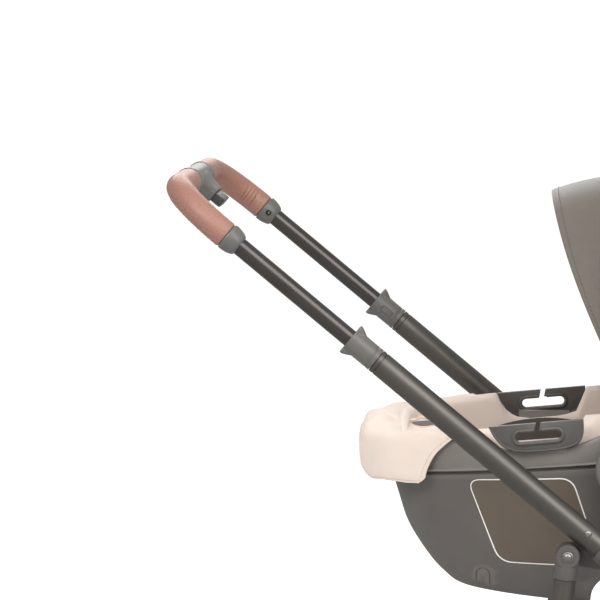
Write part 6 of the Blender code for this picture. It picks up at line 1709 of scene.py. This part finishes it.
def make_stage():
    """White studio: a floor that keeps the shadow, soft sky light, lamps and the camera of the photograph."""
    deselect()
    bpy.ops.mesh.primitive_plane_add(size=400, location=(0, 0, -0.0002))
    floor = added("studio_floor")
    made = bpy.data.materials.new("white_studio_floor")    # pale matt paper, burnt out to the camera
    made.use_nodes = True
    tree = made.node_tree
    tree.nodes.clear()
    paper = add_node(tree, "BsdfDiffuse", {"Color": (0.9, 0.9, 0.9, 1.0)})
    rays = add_node(tree, "LightPath")
    level = math_node(tree, "MULTIPLY", {0: (rays, "Is Camera Ray")}, {1: 0.62})
    glow = add_node(tree, "Emission", {"Color": (1, 1, 1, 1)}, {"Strength": (level, 0)})
    both = add_node(tree, "AddShader", {}, {0: (paper, "BSDF"), 1: (glow, "Emission")})
    add_node(tree, "OutputMaterial", {}, {"Surface": (both, 0)})
    floor.data.materials.append(made)
    floor.visible_glossy = False

    world = bpy.data.worlds.new("studio_sky")
    bpy.context.scene.world = world
    world.use_nodes = True
    tree = world.node_tree
    tree.nodes.clear()
    rays = add_node(tree, "LightPath")
    seen = add_node(tree, "Background", {"Color": (1, 1, 1, 1), "Strength": 1.0})
    soft = add_node(tree, "Background", {"Color": (1.0, 0.985, 0.97, 1), "Strength": 0.5})
    mixed = add_node(tree, "MixShader", {}, {0: (rays, "Is Camera Ray"), 1: (soft, "Background"),
                                             2: (seen, "Background")})
    add_node(tree, "OutputWorld", {}, {"Surface": (mixed, 0)})

    def lamp(name, place, target, size, size_y, power):
        deselect()
        bpy.ops.object.light_add(type="AREA", location=place)
        light = added(name)
        light.data.shape = "RECTANGLE"
        light.data.size, light.data.size_y, light.data.energy = size, size_y, power
        light.rotation_euler = (Vector(target) - Vector(place)).to_track_quat("-Z", "Y").to_euler()
        return light
    lamp("key_softbox", (-1.7, -2.3, 2.6), (-0.2, 0, 0.75), 1.6, 1.1, 50)
    lamp("top_strip", (0.1, -0.4, 2.9), (-0.1, 0, 0.7), 2.6, 0.5, 18).visible_glossy = False
    lamp("fill_softbox", (2.2, -2.4, 1.6), (0.1, 0, 0.6), 1.4, 1.4, 14)
    lamp("back_softbox", (-0.8, 2.4, 2.2), (0, 0, 0.8), 1.6, 1.0, 26)
    # A long softbox parallel to the push tubes, which shows in them as one broad streak
    strip = lamp("tube_softbox", (0.72, -1.74, 2.15), (-0.25, -0.24, 0.86), 2.4, 1.6, 40)
    away = (Vector(strip.location) - Vector((-0.25, -0.24, 0.86))).normalized()
    along = (DOWN_TUBE - away * DOWN_TUBE.dot(away)).normalized()
    strip.rotation_euler = Matrix((along, away.cross(along), away)).transposed().to_euler()

    deselect()
    bpy.ops.object.camera_add(location=(-0.01405, -4.62505, 1.308),
                              rotation=(radians(90 - 5.506), 0, radians(4.76)))
    camera = added("photo_camera")
    camera.data.lens, camera.data.sensor_width = 220.98, 36.0
    camera.data.clip_end = 500.0
    bpy.context.scene.camera = camera
    view = bpy.context.scene.view_settings
    view.view_transform, view.look = "Standard", "None"


# Operators, one for each piece or group

def both_sides(*makers):
    for side, which in SIDES:
        for maker in makers:
            maker(side, which)


class STROLLER_OT_handle(Operator):
    """Build the telescoping push handle with its grips and caps"""
    bl_idname = "stroller.handle"
    bl_label = "Push handle"

    def execute(self, context):
        make_handle_tube()
        both_sides(make_grip, make_grip_cap)
        return {"FINISHED"}


class STROLLER_OT_release(Operator):
    """Build the release housing with its trigger"""
    bl_idname = "stroller.release"
    bl_label = "Release housing"

    def execute(self, context):
        make_release_housing()
        return {"FINISHED"}


class STROLLER_OT_sleeves(Operator):
    """Build the winged sleeves that lock the telescope"""
    bl_idname = "stroller.sleeves"
    bl_label = "Telescope sleeves"

    def execute(self, context):
        both_sides(make_sleeve)
        return {"FINISHED"}


class STROLLER_OT_push_tubes(Operator):
    """Build the lower half of the push bar with the turning half of the hinges"""
    bl_idname = "stroller.push_tubes"
    bl_label = "Push tubes"

    def execute(self, context):
        both_sides(make_outer_tube, make_upper_hub)
        return {"FINISHED"}


class STROLLER_OT_fold_hubs(Operator):
    """Build the fixed half of the fold hinges with the leg gussets"""
    bl_idname = "stroller.fold_hubs"
    bl_label = "Fold hubs"

    def execute(self, context):
        both_sides(make_lower_hub)
        return {"FINISHED"}


class STROLLER_OT_front_legs(Operator):
    """Build the front legs, the cross tube, the casters and the adapters"""
    bl_idname = "stroller.front_legs"
    bl_label = "Front legs"

    def execute(self, context):
        make_middle()
        both_sides(make_front_leg, make_caster)
        return {"FINISHED"}


class STROLLER_OT_rear_frame(Operator):
    """Build the rear legs, the axle and the brake pedal"""
    bl_idname = "stroller.rear_frame"
    bl_label = "Rear frame"

    def execute(self, context):
        make_rear_frame()
        return {"FINISHED"}


class STROLLER_OT_wheels(Operator):
    """Build the four wheels"""
    bl_idname = "stroller.wheels"
    bl_label = "Wheels"

    def execute(self, context):
        for side, which in SIDES:
            make_wheel("rear", side, which, REAR_AXLE, REAR_TRACK, 0.125, 0.045, 0.026, 0.019, 0.0054)
            make_wheel("front", side, which, FRONT_AXLE, TRACK, 0.09, 0.04, 0.02, 0.014, 0.0044)
        return {"FINISHED"}


class STROLLER_OT_basket(Operator):
    """Build the storage basket on its wire"""
    bl_idname = "stroller.basket"
    bl_label = "Storage basket"

    def execute(self, context):
        make_basket()
        return {"FINISHED"}


class STROLLER_OT_shell(Operator):
    """Build the carrier's shell with its bare label panel"""
    bl_idname = "stroller.shell"
    bl_label = "Carrier shell"

    def execute(self, context):
        make_shell()
        make_label()
        return {"FINISHED"}


class STROLLER_OT_rim(Operator):
    """Build the carrier's rim and its belt guides"""
    bl_idname = "stroller.rim"
    bl_label = "Rim and belt guides"

    def execute(self, context):
        make_rim()
        both_sides(make_belt_guide)
        return {"FINISHED"}


class STROLLER_OT_lining(Operator):
    """Build the padded lining and the harness on it"""
    bl_idname = "stroller.lining"
    bl_label = "Lining and harness"

    def execute(self, context):
        make_liner()
        make_harness()
        return {"FINISHED"}


class STROLLER_OT_foot_cover(Operator):
    """Build the stitched cover over the foot end"""
    bl_idname = "stroller.foot_cover"
    bl_label = "Foot cover"

    def execute(self, context):
        make_foot_cover()
        return {"FINISHED"}


class STROLLER_OT_carry_handle(Operator):
    """Build the carry handle with its hub buttons"""
    bl_idname = "stroller.carry_handle"
    bl_label = "Carry handle"

    def execute(self, context):
        make_carry_handle()
        return {"FINISHED"}


class STROLLER_OT_canopy(Operator):
    """Build the three folding segments of the canopy"""
    bl_idname = "stroller.canopy"
    bl_label = "Canopy"

    def execute(self, context):
        for number, node in enumerate(("canopy_front", "canopy_mid", "canopy_rear")):
            make_canopy_segment(node, "carrier" if number == 2 else node, number)
        return {"FINISHED"}


class STROLLER_OT_stage(Operator):
    """Set up the white studio, its lamps and the camera"""
    bl_idname = "stroller.stage"
    bl_label = "Stage"

    def execute(self, context):
        make_stage()
        return {"FINISHED"}


OPERATORS = (
    STROLLER_OT_handle, STROLLER_OT_release, STROLLER_OT_sleeves, STROLLER_OT_push_tubes,
    STROLLER_OT_fold_hubs, STROLLER_OT_front_legs, STROLLER_OT_rear_frame, STROLLER_OT_wheels,
    STROLLER_OT_basket, STROLLER_OT_shell, STROLLER_OT_rim, STROLLER_OT_lining, STROLLER_OT_foot_cover,
    STROLLER_OT_carry_handle, STROLLER_OT_canopy, STROLLER_OT_stage)


class STROLLER_PT_build(Panel):
    """Lists the stroller's pieces in the 3D view's sidebar"""
    bl_idname = "STROLLER_PT_build"
    bl_label = "Stroller"
    bl_space_type = "VIEW_3D"
    bl_region_type = "UI"
    bl_category = "Stroller"

    def draw(self, context):
        for operator in OPERATORS:
            self.layout.operator(operator.bl_idname)
        for settings in (context.scene.stroller_sizes, context.scene.stroller_colours):
            box = self.layout.box()
            for name in settings.bl_rna.properties.keys():
                if name not in ("rna_type", "name"):
                    box.prop(settings, name)


CLASSES = (StrollerColours, StrollerSizes, *OPERATORS, STROLLER_PT_build)


def register():
    for cls in CLASSES:
        bpy.utils.register_class(cls)
    bpy.types.Scene.stroller_colours = PointerProperty(type=StrollerColours)
    bpy.types.Scene.stroller_sizes = PointerProperty(type=StrollerSizes)


def unregister():
    del bpy.types.Scene.stroller_sizes
    del bpy.types.Scene.stroller_colours
    for cls in reversed(CLASSES):
        bpy.utils.unregister_class(cls)


def main():
    register()
    for operator in OPERATORS:
        group, name = operator.bl_idname.split(".")
        getattr(getattr(bpy.ops, group), name)()


if __name__ == "__main__":
    main()
